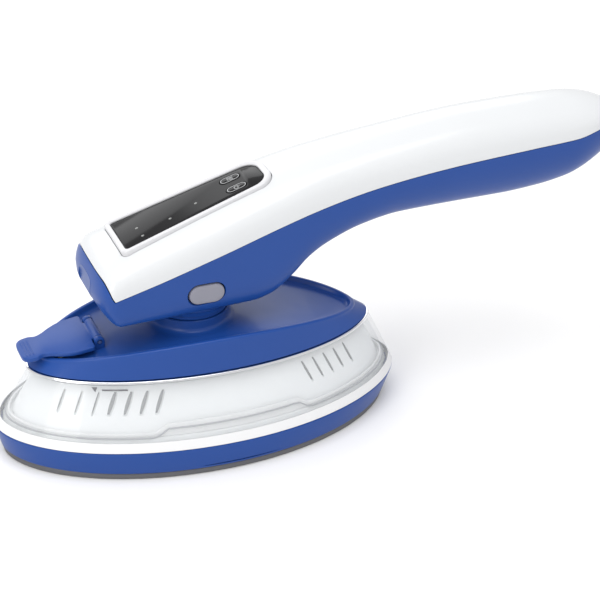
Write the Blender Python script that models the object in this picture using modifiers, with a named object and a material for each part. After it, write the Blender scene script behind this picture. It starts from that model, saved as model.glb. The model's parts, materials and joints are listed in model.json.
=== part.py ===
"""Handheld garment steamer, built as separate sub-parts at real size (metres, +Z up).

The origin is the centre of the soleplate's lower face. The head's nose points along -X, the grip runs out along +X,
and the left side is -Y. The handle swivels on a turret about a vertical axis, the filler flap hinges at the nose,
and a pair of sprung buttons pinch together to let the turret out of its notches.
"""

import math

import bmesh
import bpy
from mathutils import Matrix, Vector

# ---------------------------------------------------------------- driving dimensions
GAP = 0.0003  # clearance between pieces that touch or fit

# Plan outline of the head: an oval whose ends are drawn to soft points.
NOSE_POWER = 1.1
HEEL_POWER = 1.17
HEAD_SIDES = 32
HIDDEN_SIDES = 24

# Levels of the head: height, half length, half width, centre along X.
SOLE_HALF_LENGTH = 0.0955
SOLE_HALF_WIDTH = 0.0489
SOLE_THICKNESS = 0.0030
BAND_FOOT = (0.0033, 0.0963, 0.0497, 0.0)
BAND_TOP = (0.0148, 0.1000, 0.0505, 0.0008)
TRIM_LINE = (0.0440, 0.0843, 0.0347, 0.0019)
RIM_HALF_LENGTH = 0.0783
RIM_HALF_WIDTH = 0.0331
RIM_CENTRE_X = 0.0008
RIM_END_HEIGHT = 0.0496  # rim height at the nose and heel
RIM_ARCH = 0.0108  # extra height at the middle
RIM_LIP = 0.0016  # width of the flat on the rim
DISH_DEPTH = 0.0030
COVER_WALL = 0.0022

# Base: sole, heater and shield.
GASKET_HEIGHT = 0.0010
BLOCK_HALF_LENGTH = 0.082
BLOCK_HALF_WIDTH = 0.036
BLOCK_HEIGHT = 0.0054
CHAMBER_WALL = 0.006
CHAMBER_DEPTH = 0.0030
PILLAR_RADIUS = 0.0045
STEAM_HOLES = 14
STEAM_HOLE_RADIUS = 0.0016
STEAM_ROW_INSET = 0.016  # from the block's edge to the row of steam holes
ELEMENT_RADIUS = 0.0031
ELEMENT_INSET = 0.020
ELEMENT_LIFT = 0.0012  # element axis above the block's top face
SKIRT_WALL = 0.0024
SKIRT_LIP = 0.0065
SKIRT_LEDGE = 0.016
SHIELD_INSET = 0.012  # from the top of the band to the shield's edge
SHIELD_THICKNESS = 0.0015
FLOOR_THICKNESS = 0.0025

# Water tank: clear skirt, white slotted liner behind it, pearl band with a stepped top.
TANK_WALL = 0.0022
TANK_SEAL_HEIGHT = 0.0007
TRIM_HEIGHT = 0.0010
TRIM_PROUD = 0.0006
LINER_SPACING = 0.0035
LINER_WALL = 0.0018
BAND_LOW = 0.0195
BAND_HIGH = 0.0228
BAND_STEP_FRONT_X = -0.0315
BAND_STEP_REAR_X = 0.0390
BAND_WALL = 0.0012
SLOT_WIDTH = 0.0014
SLOT_FOOT = 0.0275
SLOT_TOP = 0.0375
SLOT_RAKE = 0.0048  # how far a slot's foot leans outward along X
NOSE_SLOTS = 7
NOSE_SLOT_START_X = -0.0715
NOSE_SLOT_PITCH = 0.0070
HEEL_SLOTS = 5
HEEL_SLOT_START_X = 0.0440
HEEL_SLOT_PITCH = 0.0062

# Dry well that keeps the pump and the wires out of the water.
WELL_HALF_LENGTH = 0.054
WELL_HALF_WIDTH = 0.0235
WELL_CENTRE_X = 0.012
WELL_POWER = 0.7
WELL_WALL = 0.0020
WELL_SEAL_HEIGHT = 0.0010

# Turret: boss on the cover, washer, neck under the handle, spindle and notched crown.
TURRET_X = -0.0045
BOSS_RADIUS = 0.0185
BOSS_FLARE = 0.0010
BOSS_TOP = 0.0630
BOSS_ROOF = 0.0036
WASHER_HEIGHT = 0.0015
SPINDLE_RADIUS = 0.0100
SPINDLE_BORE = 0.0065
SPINDLE_FLANGE_RADIUS = 0.0150
SPINDLE_FLANGE = 0.0024
CROWN_RADIUS = 0.0165
CROWN_WALL = 0.0024
CROWN_FLOOR = 0.0020
CROWN_HEIGHT = 0.0064
CROWN_NOTCHES = 24  # a click every 15 degrees
NOTCH_DEPTH = 0.0014
NOTCH_WIDTH = 0.0024
KEY_BAR_WIDTH = 0.0024  # bar on the crown that sits in the spindle's keyway
KEYWAY_DEPTH = 0.0011
CLIP_HEIGHT = 0.0008
CLIP_RADIUS = 0.0122

# Handle form.
UNDERSIDE = 0.0680  # flat underside, parallel to the sole
HANDLE_WALL = 0.0024
HANDLE_FRONT_X = -0.0546
HANDLE_TAIL_X = 0.2170
FRONT_ROUNDING = 0.0085
TAIL_ROUNDING = 0.0360
TAIL_CLOSING = 0.93  # share of the tail's rounding that is used before its flat end
SPLIT_GAP = 0.0003
FRONT_WALL = 0.0050
LEAN_LENGTH = 0.0200  # how far behind the front the lean of the front face fades out
HANDLE_SIDES = 20
HOLLOW_SIDES = 16
HANDLE_STATIONS = 20
HOLLOW_STATIONS = 14

# Panel: bezel, glass and two keys, in the plane of the sloping top.
PANEL_FRONT = (-0.0408, 0.1018)  # X and Z of the bezel's front edge on the panel plane
PANEL_SLOPE = math.radians(18.6)
BEZEL_LENGTH = 0.0775
BEZEL_FRONT_HALF_WIDTH = 0.0155
BEZEL_REAR_HALF_WIDTH = 0.0125
BEZEL_FRONT_CORNER = 0.0030
BEZEL_REAR_CORNER = 0.0085
BEZEL_HEIGHT = 0.0052
BEZEL_PROUD = 0.0007
BEZEL_BORDER = 0.0021
BEZEL_ENDS = 0.0030
GLASS_THICKNESS = 0.0018
GLASS_LEDGE = 0.0014
KEY_LENGTH = 0.0100
KEY_WIDTH = 0.0050
KEY_PLACE = 0.0605  # from the bezel's front edge to the keys' middle
KEY_SIDE = 0.0046
KEY_TRAVEL = 0.0006
KEY_FLANGE = 0.0009
BOARD_DROP = 0.0062  # board's top face below the panel plane
BOARD_THICKNESS = 0.0016

# Release buttons.
BUTTON_HEIGHT = 0.0805  # axis height
BUTTON_LENGTH = 0.0170
BUTTON_WIDTH = 0.0095
BUTTON_FACE_Y = 0.0256
BUTTON_SEAT_Y = 0.0204  # outer side of the flange that keeps a button in
BUTTON_FLANGE = 0.0016
BUTTON_TRAVEL = 0.0020
STEM_WIDTH = 0.0044
BRIDGE_HALF_SPAN = 0.0209
BRIDGE_LEG = 0.0022
BRIDGE_THICKNESS = 0.0018
CHIMNEY_RADIUS = 0.0082
CHIMNEY_WALL = 0.0016
SPRING_RADIUS = 0.0019
SPRING_WIRE = 0.00035

# Filler flap at the nose.
FLAP_HINGE_X = -0.0510
FLAP_HINGE_Z = 0.0562
FLAP_SLOPE = math.radians(8.1)
FLAP_THICKNESS = 0.0022
FLAP_REAR_HALF_WIDTH = 0.0122
FLAP_FRONT_HALF_WIDTH = 0.0086
FLAP_LENGTH = 0.0270
FLAP_TAB_LENGTH = 0.0085
FLAP_TAB_HALF_WIDTH = 0.0098
KNUCKLE_RADIUS = 0.0024
KNUCKLE_HALF_LENGTH = 0.0080
PIN_RADIUS = 0.0009
LUG_THICKNESS = 0.0026
MOUTH_FRONT_X = -0.0715
MOUTH_REAR_X = -0.0600
MOUTH_HALF_WIDTH = 0.0068
PLUG_RELIEF = 0.0026  # room at the nose side of the mouth for the plug's swing

# Screws.
SCREW_RADIUS = 0.0015
SCREW_HEAD_RADIUS = 0.0029
SCREW_HEAD = 0.0017
SCREW_SIDES = 8
SOLE_SCREWS = [(-0.012, 0.014), (-0.012, -0.014), (0.029, 0.0145), (0.029, -0.0145)]
COVER_SCREWS = [(-0.0275, 0.0095), (-0.0275, -0.0095), (0.0545, 0.0092), (0.0545, -0.0092)]
COVER_POST_RADIUS = 0.0034
SPINDLE_SCREW_RING = 0.0126
SPINDLE_SCREW_COUNT = 3
HANDLE_SCREWS_X = [0.080, 0.113, 0.172]
HANDLE_POST_RADIUS = 0.0036

# Pump, hoses and wires.
PUMP_RADIUS = 0.0085
PUMP_LENGTH = 0.026
PUMP_CENTRE = (0.0375, 0.0, 0.0340)
COIL_RADIUS = 0.0105
COIL_LENGTH = 0.011
NIPPLE_RADIUS = 0.0022
HOSE_RADIUS = 0.0027
HOSE_BORE = 0.0025
FEED_X = 0.0130
INLET_FOOT_X = 0.0735
LEAD_RADIUS = 0.0030
TERMINAL_X = (0.132, 0.155)
TERMINAL_FOOT = 0.1070
GLAND_RADIUS = 0.0056
GLAND_BORE = 0.0035
GLAND_FLANGE_RADIUS = 0.0072
GLAND_FLANGE = 0.0020

# ---------------------------------------------------------------- heights that follow
BLOCK_FOOT = SOLE_THICKNESS + GASKET_HEIGHT + 2 * GAP
BLOCK_TOP = BLOCK_FOOT + BLOCK_HEIGHT
SHIELD_FOOT = BAND_TOP[0] + GAP
FLOOR_FOOT = SHIELD_FOOT + SHIELD_THICKNESS + GAP
FLOOR_TOP = FLOOR_FOOT + FLOOR_THICKNESS
TANK_FOOT = BAND_TOP[0] + TANK_SEAL_HEIGHT + 2 * GAP
COVER_FOOT = TRIM_LINE[0] + GAP
TRIM_FOOT = TRIM_LINE[0] - TRIM_HEIGHT
TANK_TOP = TRIM_FOOT - GAP
ROOF_UNDERSIDE = BOSS_TOP - BOSS_ROOF
FLANGE_TOP = ROOF_UNDERSIDE - GAP
NECK_FOOT = BOSS_TOP + WASHER_HEIGHT + 2 * GAP
HANDLE_FLOOR = UNDERSIDE + HANDLE_WALL
CROWN_FOOT = HANDLE_FLOOR + GAP
CROWN_TOP = CROWN_FOOT + CROWN_HEIGHT
CLIP_FOOT = CROWN_FOOT + CROWN_FLOOR + GAP
SPINDLE_TOP = CLIP_FOOT + CLIP_HEIGHT + 0.0010
BUTTON_FOOT_Z = BUTTON_HEIGHT - BUTTON_WIDTH / 2

# Handle lines along X: (x, value) points that smooth curves pass through.
TOP_LINE = [(-0.0546, 0.0962), (-0.0440, 0.1000), (0.0320, 0.1256), (0.0560, 0.1318), (0.0950, 0.1382),
            (0.1350, 0.1425), (0.1700, 0.1436), (0.2000, 0.1428), (0.2170, 0.1400)]
SPLIT_LINE = [(-0.0475, 0.0842), (-0.0270, 0.0898), (0.0016, 0.0984), (0.0504, 0.1122), (0.0802, 0.1183),
              (0.1206, 0.1232), (0.1615, 0.1262), (0.1835, 0.1276), (0.1950, 0.1300), (0.2170, 0.1350)]
BOTTOM_LINE = [(-0.0546, UNDERSIDE), (0.0190, UNDERSIDE), (0.0280, 0.0695), (0.0400, 0.0772), (0.0470, 0.0836),
               (0.0560, 0.0886), (0.0750, 0.0948), (0.0950, 0.0972), (0.1250, 0.0977), (0.1500, 0.0979),
               (0.1700, 0.0993), (0.1850, 0.1020), (0.2170, 0.1135)]
HALF_WIDTH_LINE = [(-0.0546, 0.0262), (-0.0045, 0.0255), (0.0300, 0.0235), (0.0600, 0.0216), (0.1000, 0.0204),
                   (0.1500, 0.0200), (0.1900, 0.0192), (0.2170, 0.0180)]
UPPER_POWER_LINE = [(-0.0546, 3.2), (0.0300, 3.0), (0.0900, 2.5), (0.2170, 2.2)]
LOWER_POWER_LINE = [(-0.0546, 6.0), (0.0200, 6.0), (0.0600, 3.4), (0.1000, 2.4), (0.2170, 2.2)]
MIDDLE_LINE = [(-0.0546, 0.0840), (-0.0400, 0.0840), (0.1500, 0.1230), (0.2170, 0.1280)]
FRONT_LEAN_LINE = [(UNDERSIDE, 0.0062), (0.0776, 0.0016), (0.0820, 0.0), (0.0916, 0.0016), (0.0990, 0.0036)]
FRONT_EDGE = [(-0.0700, 0.0932), (-0.0512, 0.0932), (-0.0500, 0.0900), (-0.0487, 0.0862), (-0.0480, 0.0849)]


# ---------------------------------------------------------------- scene helpers
def clear_scene():
    """Remove every object and leave two collections, one for the parts and one for the cutters."""
    for item in list(bpy.data.objects):
        bpy.data.objects.remove(item, do_unlink=True)
    for name in ("handheld_steamer", "cutters"):
        collection = bpy.data.collections.get(name) or bpy.data.collections.new(name)
        if name not in bpy.context.scene.collection.children:
            bpy.context.scene.collection.children.link(collection)


def finish(name, colour, roughness, metallic=0.0, alpha=1.0):
    """A Principled material with a plain colour."""
    material = bpy.data.materials.new(name)
    material.use_nodes = True
    shader = material.node_tree.nodes["Principled BSDF"]
    shader.inputs["Base Color"].default_value = (*colour, 1.0)
    shader.inputs["Roughness"].default_value = roughness
    shader.inputs["Metallic"].default_value = metallic
    shader.inputs["Alpha"].default_value = alpha
    return material


def place(thing, collection="handheld_steamer"):
    """Link an object to one of the two collections."""
    bpy.data.collections[collection].objects.link(thing)
    return thing


def as_cutter(thing):
    """Move an object to the cutters, which are drawn as wires and never built."""
    for collection in list(thing.users_collection):
        collection.objects.unlink(thing)
    place(thing, "cutters")
    thing.hide_render = True
    thing.display_type = "WIRE"
    return thing


def from_bmesh(name, mesh, smooth=35.0):
    """A new object from a bmesh, with its faces turned outward and its round stretches shaded smooth."""
    bmesh.ops.recalc_face_normals(mesh, faces=mesh.faces)
    data = bpy.data.meshes.new(name)
    mesh.to_mesh(data)
    mesh.free()
    data.shade_smooth()
    data.set_sharp_from_angle(angle=math.radians(smooth))
    return place(bpy.data.objects.new(name, data))


def loft(name, rings, closed_loop, fan_caps=False):
    """A skin through rings of points. A closed loop of rings has a hole through it; the rest are capped."""
    mesh = bmesh.new()
    rows = [[mesh.verts.new(point) for point in ring] for ring in rings]
    pairs = list(zip(rows, rows[1:]))
    if closed_loop:
        pairs.append((rows[-1], rows[0]))
    for lower, upper in pairs:
        count = len(lower)
        for i in range(count):
            j = (i + 1) % count
            mesh.faces.new((lower[i], lower[j], upper[j], upper[i]))
    if not closed_loop:
        caps = [mesh.faces.new(rows[0]), mesh.faces.new(rows[-1])]
        if fan_caps:
            bmesh.ops.poke(mesh, faces=caps)
    return from_bmesh(name, mesh)


def box(name, low, high):
    """A block between two corners."""
    mesh = bmesh.new()
    size = Vector(high) - Vector(low)
    middle = (Vector(high) + Vector(low)) / 2
    matrix = Matrix.Translation(middle) @ Matrix.Diagonal((*size, 1.0))
    bmesh.ops.create_cube(mesh, size=1.0, matrix=matrix)
    return from_bmesh(name, mesh)


AXIS_TURN = {"X": Matrix.Rotation(math.pi / 2, 4, "Y"), "Y": Matrix.Rotation(-math.pi / 2, 4, "X"),
             "Z": Matrix.Identity(4)}


def rod(name, radius, start, end, axis="Z", centre=(0.0, 0.0), sides=20):
    """A cylinder along a main axis, from start to end; centre holds its other two coordinates in X, Y, Z order."""
    mesh = bmesh.new()
    middle = (start + end) / 2
    place_at = {"X": (middle, *centre), "Y": (centre[0], middle, centre[1]), "Z": (*centre, middle)}[axis]
    matrix = Matrix.Translation(place_at) @ AXIS_TURN[axis]
    bmesh.ops.create_cone(mesh, cap_ends=True, segments=sides, radius1=radius, radius2=radius,
                          depth=abs(end - start), matrix=matrix)
    return from_bmesh(name, mesh)


def turned(name, profile, location=(0.0, 0.0, 0.0), steps=24):
    """A turned piece: the profile, as (radius, height) from its top down the outer side, screwed about Z."""
    data = bpy.data.meshes.new(name)
    points = [(radius, 0.0, height) for radius, height in profile]
    edges = [(i, i + 1) for i in range(len(points) - 1)]
    if profile[0][0] > 0.0:
        edges.append((len(points) - 1, 0))
    data.from_pydata(points, edges, [])
    thing = place(bpy.data.objects.new(name, data))
    thing.location = location
    screw = thing.modifiers.new("turn", "SCREW")
    screw.steps = steps
    screw.render_steps = steps
    screw.use_merge_vertices = True
    screw.merge_threshold = 0.00001
    return thing


def plate(name, outlines, foot, top):
    """A flat plate between two heights; the first outline is its edge and the others are holes."""
    curve = bpy.data.curves.new(name, "CURVE")
    curve.dimensions = "2D"
    curve.fill_mode = "BOTH"
    curve.extrude = (top - foot) / 2
    for outline in outlines:
        spline = curve.splines.new("POLY")
        spline.points.add(len(outline) - 1)
        spline.use_cyclic_u = True
        for point, (x, y) in zip(spline.points, outline):
            point.co = (x, y, 0.0, 1.0)
    thing = place(bpy.data.objects.new(name, curve))
    thing.location.z = (top + foot) / 2
    return meshed(thing)


def tube(name, points, radius, sides_setting=2, cyclic=False):
    """A round tube along a poly curve, with filled caps, made a mesh."""
    curve = bpy.data.curves.new(name, "CURVE")
    curve.dimensions = "3D"
    curve.bevel_depth = radius
    curve.bevel_resolution = sides_setting
    curve.use_fill_caps = True
    spline = curve.splines.new("POLY")
    spline.points.add(len(points) - 1)
    spline.use_cyclic_u = cyclic
    for point, place_at in zip(spline.points, points):
        point.co = (*place_at, 1.0)
    return meshed(place(bpy.data.objects.new(name, curve)))


def meshed(thing):
    """Replace a curve object by a mesh object of the same shape and place, with its caps welded on."""
    bpy.context.view_layer.update()
    graph = bpy.context.evaluated_depsgraph_get()
    data = bpy.data.meshes.new_from_object(thing.evaluated_get(graph))
    mesh = bmesh.new()
    mesh.from_mesh(data)
    mesh.transform(thing.matrix_world)
    bmesh.ops.remove_doubles(mesh, verts=mesh.verts, dist=0.00001)
    bmesh.ops.recalc_face_normals(mesh, faces=mesh.faces)
    mesh.to_mesh(data)
    mesh.free()
    data.shade_smooth()
    data.set_sharp_from_angle(angle=math.radians(35.0))
    name = thing.name
    bpy.data.objects.remove(thing, do_unlink=True)
    return place(bpy.data.objects.new(name, data))


def combine(thing, operation, others):
    """Add Boolean modifiers that cut the others out of a piece, join them to it or keep what they share."""
    for other in others:
        step = thing.modifiers.new(operation.lower(), "BOOLEAN")
        step.operation = operation
        step.solver = "EXACT"
        step.object = as_cutter(other)
    return thing


def cut(thing, *others):
    """Cut other solids out of a piece."""
    return combine(thing, "DIFFERENCE", others)


def join(thing, *others):
    """Join other solids to a piece."""
    return combine(thing, "UNION", others)


def dress(thing, material):
    """Give a piece its material."""
    thing.data.materials.clear()
    thing.data.materials.append(material)
    return thing


def hold(things, location, slope=0.0, name="holder"):
    """Parent pieces to an empty that carries their place and their tilt about Y."""
    empty = bpy.data.objects.new(name, None)
    place(empty)
    empty.location = location
    empty.rotation_euler = (0.0, slope, 0.0)
    for thing in things:
        thing.parent = empty
    return empty


# ---------------------------------------------------------------- outlines and lines
def oval(half_length, half_width, centre_x=0.0, sides=HEAD_SIDES, power=None):
    """Plan outline of the head, anticlockwise from the heel."""
    points = []
    for i in range(sides):
        angle = 2 * math.pi * i / sides
        exponent = power or (NOSE_POWER if math.cos(angle) < 0 else HEEL_POWER)
        rise = math.sin(angle)
        points.append((centre_x + half_length * math.cos(angle),
                       half_width * math.copysign(abs(rise) ** exponent, rise)))
    return points


def circle(radius, centre=(0.0, 0.0), sides=12):
    """Points of a circle."""
    return [(centre[0] + radius * math.cos(2 * math.pi * i / sides),
             centre[1] + radius * math.sin(2 * math.pi * i / sides)) for i in range(sides)]


def pill(length, width, centre=(0.0, 0.0), arc=5):
    """A slot with round ends, along the first axis."""
    points = []
    for side in (1, -1):
        for i in range(arc + 1):
            angle = math.pi * i / arc - math.pi / 2 + (0 if side > 0 else math.pi)
            points.append((centre[0] + side * (length - width) / 2 + width / 2 * math.cos(angle),
                           centre[1] + width / 2 * math.sin(angle)))
    return points


def at_height(outline, height):
    """Lift an outline to a height, which may be a number or a function of x."""
    lift = height if callable(height) else (lambda x: height)
    return [(x, y, lift(x)) for x, y in outline]


def rim_height(x):
    """Height of the cover's arched rim."""
    share = (x - RIM_CENTRE_X) / RIM_HALF_LENGTH
    return RIM_END_HEIGHT + RIM_ARCH * max(0.0, 1 - share * share)


def below_rim(drop):
    """A height function that runs parallel to the rim."""
    return lambda x: rim_height(x) - drop


def skirt(height, inset, sides=HEAD_SIDES):
    """Outline of the leaning tank wall at a height, moved inward by an inset."""
    share = (height - BAND_TOP[0]) / (TRIM_LINE[0] - BAND_TOP[0])
    half_length, half_width, centre = (low + (high - low) * share for low, high in zip(BAND_TOP[1:], TRIM_LINE[1:]))
    return oval(half_length - inset, half_width - inset, centre, sides)


def band(height, inset):
    """Outline of the blue band at a height, moved inward by an inset."""
    share = (height - BAND_FOOT[0]) / (BAND_TOP[0] - BAND_FOOT[0])
    half_length, half_width, centre = (low + (high - low) * share for low, high in zip(BAND_FOOT[1:], BAND_TOP[1:]))
    return oval(half_length - inset, half_width - inset, centre)


def well(inset, sides=HEAD_SIDES):
    """Outline of the dry well."""
    return oval(WELL_HALF_LENGTH - inset, WELL_HALF_WIDTH - inset, WELL_CENTRE_X, sides, WELL_POWER)


def smooth_line(points):
    """A function that passes smoothly through (x, value) points and never overshoots them."""
    xs, values = zip(*points)
    rises = [(values[i + 1] - values[i]) / (xs[i + 1] - xs[i]) for i in range(len(xs) - 1)]
    slopes = [rises[0]]
    for before, after in zip(rises, rises[1:]):
        slopes.append(0.0 if before * after <= 0 else 2 * before * after / (before + after))
    slopes.append(rises[-1])

    def value(x):
        x = min(max(x, xs[0]), xs[-1])
        i = next(k for k in range(len(xs) - 1) if x <= xs[k + 1])
        width = xs[i + 1] - xs[i]
        t = (x - xs[i]) / width
        return ((1 + 2 * t) * (1 - t) ** 2 * values[i] + t * (1 - t) ** 2 * width * slopes[i]
                + t * t * (3 - 2 * t) * values[i + 1] + t * t * (t - 1) * width * slopes[i + 1])

    return value


top_line = smooth_line(TOP_LINE)
split_line = smooth_line(SPLIT_LINE)
bottom_line = smooth_line(BOTTOM_LINE)
half_width_line = smooth_line(HALF_WIDTH_LINE)
upper_power = smooth_line(UPPER_POWER_LINE)
lower_power = smooth_line(LOWER_POWER_LINE)
middle_line = smooth_line(MIDDLE_LINE)
front_lean = smooth_line(FRONT_LEAN_LINE)


def end_share(x, inset):
    """How much of the full section is left at x: 1 along the handle, less towards its rounded ends."""
    front = (HANDLE_FRONT_X + FRONT_ROUNDING - x) / (FRONT_ROUNDING - inset)
    if front > 0:
        return (1 - min(front, 0.985) ** 3) ** (1 / 3)
    tail = (x - (HANDLE_TAIL_X - TAIL_CLOSING * TAIL_ROUNDING)) / (TAIL_ROUNDING - inset)
    if tail > 0:
        return math.sqrt(max(0.0, 1 - tail * tail))
    return 1.0


def handle_ring(x, inset, sides):
    """The handle's section at x, moved inward by an inset: a rounded box, widest on the split, leaning at the front."""
    share = end_share(x, inset)
    middle = middle_line(x)
    top, split, bottom = (middle + (height - middle) * share for height in
                          (top_line(x) - inset, split_line(x), bottom_line(x) + inset))
    split = min(max(split, bottom + 0.3 * (top - bottom)), top - 0.2 * (top - bottom))
    half_width = (half_width_line(x) - inset) * share
    ring = []
    for i in range(sides):
        angle = 2 * math.pi * i / sides
        across, rise = math.cos(angle), math.sin(angle)
        power = 2 / (upper_power(x) if rise >= 0 else lower_power(x))
        y = half_width * math.copysign(abs(across) ** power, across)
        reach = (top - split) if rise >= 0 else (split - bottom)
        z = split + reach * math.copysign(abs(rise) ** power, rise)
        fade = max(0.0, 1 - (x - HANDLE_FRONT_X) / LEAN_LENGTH)
        ring.append((x + fade * front_lean(z), y, z))
    return ring


def handle_form(name, inset, sides, stations):
    """The handle's closed outer form, or with an inset the hollow inside it."""
    start, end = HANDLE_FRONT_X + (FRONT_WALL if inset else 0.0), HANDLE_TAIL_X - inset
    shares = (0.0, 0.3, 0.6) if inset else (0.0, 0.04, 0.14, 0.32, 0.6)
    front = [start + FRONT_ROUNDING * share for share in shares]
    rear_start = end - TAIL_ROUNDING * 0.8
    step = (rear_start - front[-1]) / stations
    body = [front[-1] + step * (i + 1) for i in range(stations)]
    rear = [rear_start + (end - rear_start) * share for share in (0.3, 0.55, 0.75, 0.9, 1.0)]
    return loft(name, [handle_ring(x, inset, sides) for x in front + body + rear], closed_loop=False, fan_caps=True)


def split_wedge(name, above):
    """Everything above, or below, the split between the two handle shells, with half the seam's gap."""
    shift = -SPLIT_GAP / 2 if above else SPLIT_GAP / 2
    line = [(x + shift, z + shift) for x, z in FRONT_EDGE]
    steps = 18
    start = SPLIT_LINE[0][0]
    line += [(x, split_line(x) + shift) for x in
             (start + (HANDLE_TAIL_X - start) * i / steps for i in range(steps + 1))]
    line.append((HANDLE_TAIL_X + 0.02, line[-1][1]))
    far = 0.2 if above else 0.03
    outline = line + [(line[-1][0], far), (line[0][0], far)]
    mesh = bmesh.new()
    sides = [[mesh.verts.new((x, y, z)) for x, z in outline] for y in (-0.04, 0.04)]
    mesh.faces.new(sides[0])
    mesh.faces.new(sides[1])
    for i in range(len(outline)):
        j = (i + 1) % len(outline)
        mesh.faces.new((sides[0][i], sides[0][j], sides[1][j], sides[1][i]))
    return from_bmesh(name, mesh)


def smooth_route(points, per_span=4):
    """Points along a Catmull-Rom curve through a route's own points."""
    knots = [Vector(point) for point in points]
    knots = [2 * knots[0] - knots[1]] + knots + [2 * knots[-1] - knots[-2]]
    route = []
    for a, b, c, d in zip(knots, knots[1:], knots[2:], knots[3:]):
        for i in range(per_span):
            t = i / per_span
            route.append(0.5 * ((2 * b) + (c - a) * t + (2 * a - 5 * b + 4 * c - d) * t * t
                                + (3 * b - a - 3 * c + d) * t ** 3))
    route.append(knots[-2])
    return route


# ---------------------------------------------------------------- base
def make_soleplate(material):
    """Flat cast plate with a row of steam holes and blind holes for the sole screws."""
    row = oval(BLOCK_HALF_LENGTH - STEAM_ROW_INSET, BLOCK_HALF_WIDTH - STEAM_ROW_INSET * 0.7, 0.0, STEAM_HOLES)
    holes = [circle(STEAM_HOLE_RADIUS, centre, 8) for centre in row]
    sole = plate("soleplate", [oval(SOLE_HALF_LENGTH, SOLE_HALF_WIDTH)] + holes, 0.0, SOLE_THICKNESS)
    for x, y in SOLE_SCREWS:
        cut(sole, rod("sole_hole_cut", SCREW_RADIUS + GAP, SOLE_THICKNESS * 0.3, SOLE_THICKNESS + 0.001,
                      centre=(x, y), sides=10))
    return dress(sole, material)


def make_gasket(material):
    """Silicone ring between the sole and the heater block."""
    inner = oval(BLOCK_HALF_LENGTH - 0.005, BLOCK_HALF_WIDTH - 0.004, 0.0, HIDDEN_SIDES)
    outer = oval(BLOCK_HALF_LENGTH - 0.001, BLOCK_HALF_WIDTH - 0.001, 0.0, HIDDEN_SIDES)
    foot = SOLE_THICKNESS + GAP
    return dress(plate("chamber_gasket", [outer, inner], foot, foot + GASKET_HEIGHT), material)


def element_route():
    """The heating element's path: an oval loop left open at the heel."""
    points = oval(BLOCK_HALF_LENGTH - ELEMENT_INSET, BLOCK_HALF_WIDTH - ELEMENT_INSET * 0.6, 0.0, 28)
    height = BLOCK_TOP + ELEMENT_LIFT
    return [(x, y, height) for x, y in points[2:-1]]


def make_heater(block_material, element_material):
    """Cast block with a steam chamber below and a groove for the element on top."""
    block = plate("heater_block", [oval(BLOCK_HALF_LENGTH, BLOCK_HALF_WIDTH, 0.0, HIDDEN_SIDES)],
                  BLOCK_FOOT, BLOCK_TOP)
    pillars = [circle(PILLAR_RADIUS, centre, 10) for centre in SOLE_SCREWS]
    chamber = plate("chamber_cut", [oval(BLOCK_HALF_LENGTH - CHAMBER_WALL, BLOCK_HALF_WIDTH - CHAMBER_WALL, 0.0,
                                         HIDDEN_SIDES)] + pillars, BLOCK_FOOT - 0.001, BLOCK_FOOT + CHAMBER_DEPTH)
    route = element_route()
    cut(block, chamber, tube("element_groove_cut", route, ELEMENT_RADIUS + GAP, 1))
    for x, y in SOLE_SCREWS:
        cut(block, rod("block_hole_cut", SCREW_RADIUS + GAP, 0.0, SHIELD_FOOT, centre=(x, y), sides=10))
    cut(block, rod("steam_inlet_cut", HOSE_RADIUS + GAP, BLOCK_FOOT + 0.001, SHIELD_FOOT, centre=(FEED_X, 0.0),
                   sides=10))
    element = tube("heating_element", route, ELEMENT_RADIUS, 1)
    return dress(block, block_material), dress(element, element_material)


def make_heat_guards(metal, ceramic):
    """Thermostat disc and thermal fuse, seated on the block's top face."""
    foot = BLOCK_TOP + GAP
    thermostat = turned("thermostat", [(0.0, foot + 0.0040), (0.0045, foot + 0.0040), (0.0045, foot + 0.0016),
                                       (0.0070, foot + 0.0016), (0.0070, foot), (0.0, foot)],
                        (0.042, 0.0, 0.0), 16)
    fuse = rod("thermal_fuse", 0.0017, -0.006, 0.006, "Y", (-0.034, foot + 0.0017), 10)
    return dress(thermostat, metal), dress(fuse, ceramic)


def make_base_skirt(material):
    """Blue band round the base: a wall with a lip over the sole's edge and a ledge under the shield."""
    foot, top = BAND_FOOT[0], BAND_TOP[0]
    lip_top, ledge_foot = foot + 0.0020, top - SKIRT_WALL
    rings = [at_height(band(foot, 0.0), foot), at_height(band(top, 0.0), top),
             at_height(band(top, SKIRT_LEDGE), top), at_height(band(top, SKIRT_LEDGE), ledge_foot),
             at_height(band(ledge_foot, SKIRT_WALL), ledge_foot), at_height(band(lip_top, SKIRT_WALL), lip_top),
             at_height(band(lip_top, SKIRT_LIP), lip_top), at_height(band(foot, SKIRT_LIP), foot)]
    return dress(loft("base_skirt", rings, closed_loop=True), material)


def make_heat_shield(material):
    """Thin plate over the heater, resting on the skirt's ledge."""
    outline = oval(BAND_TOP[1] - SHIELD_INSET, BAND_TOP[2] - SHIELD_INSET, BAND_TOP[3], HIDDEN_SIDES)
    holes = [circle(SCREW_RADIUS + GAP, centre, 10) for centre in SOLE_SCREWS]
    holes += [circle(SCREW_HEAD_RADIUS + GAP, centre, 10) for centre in COVER_SCREWS]
    holes.append(circle(HOSE_RADIUS + GAP, (FEED_X, 0.0), 10))
    return dress(plate("heat_shield", [outline] + holes, SHIELD_FOOT, SHIELD_FOOT + SHIELD_THICKNESS), material)


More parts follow.
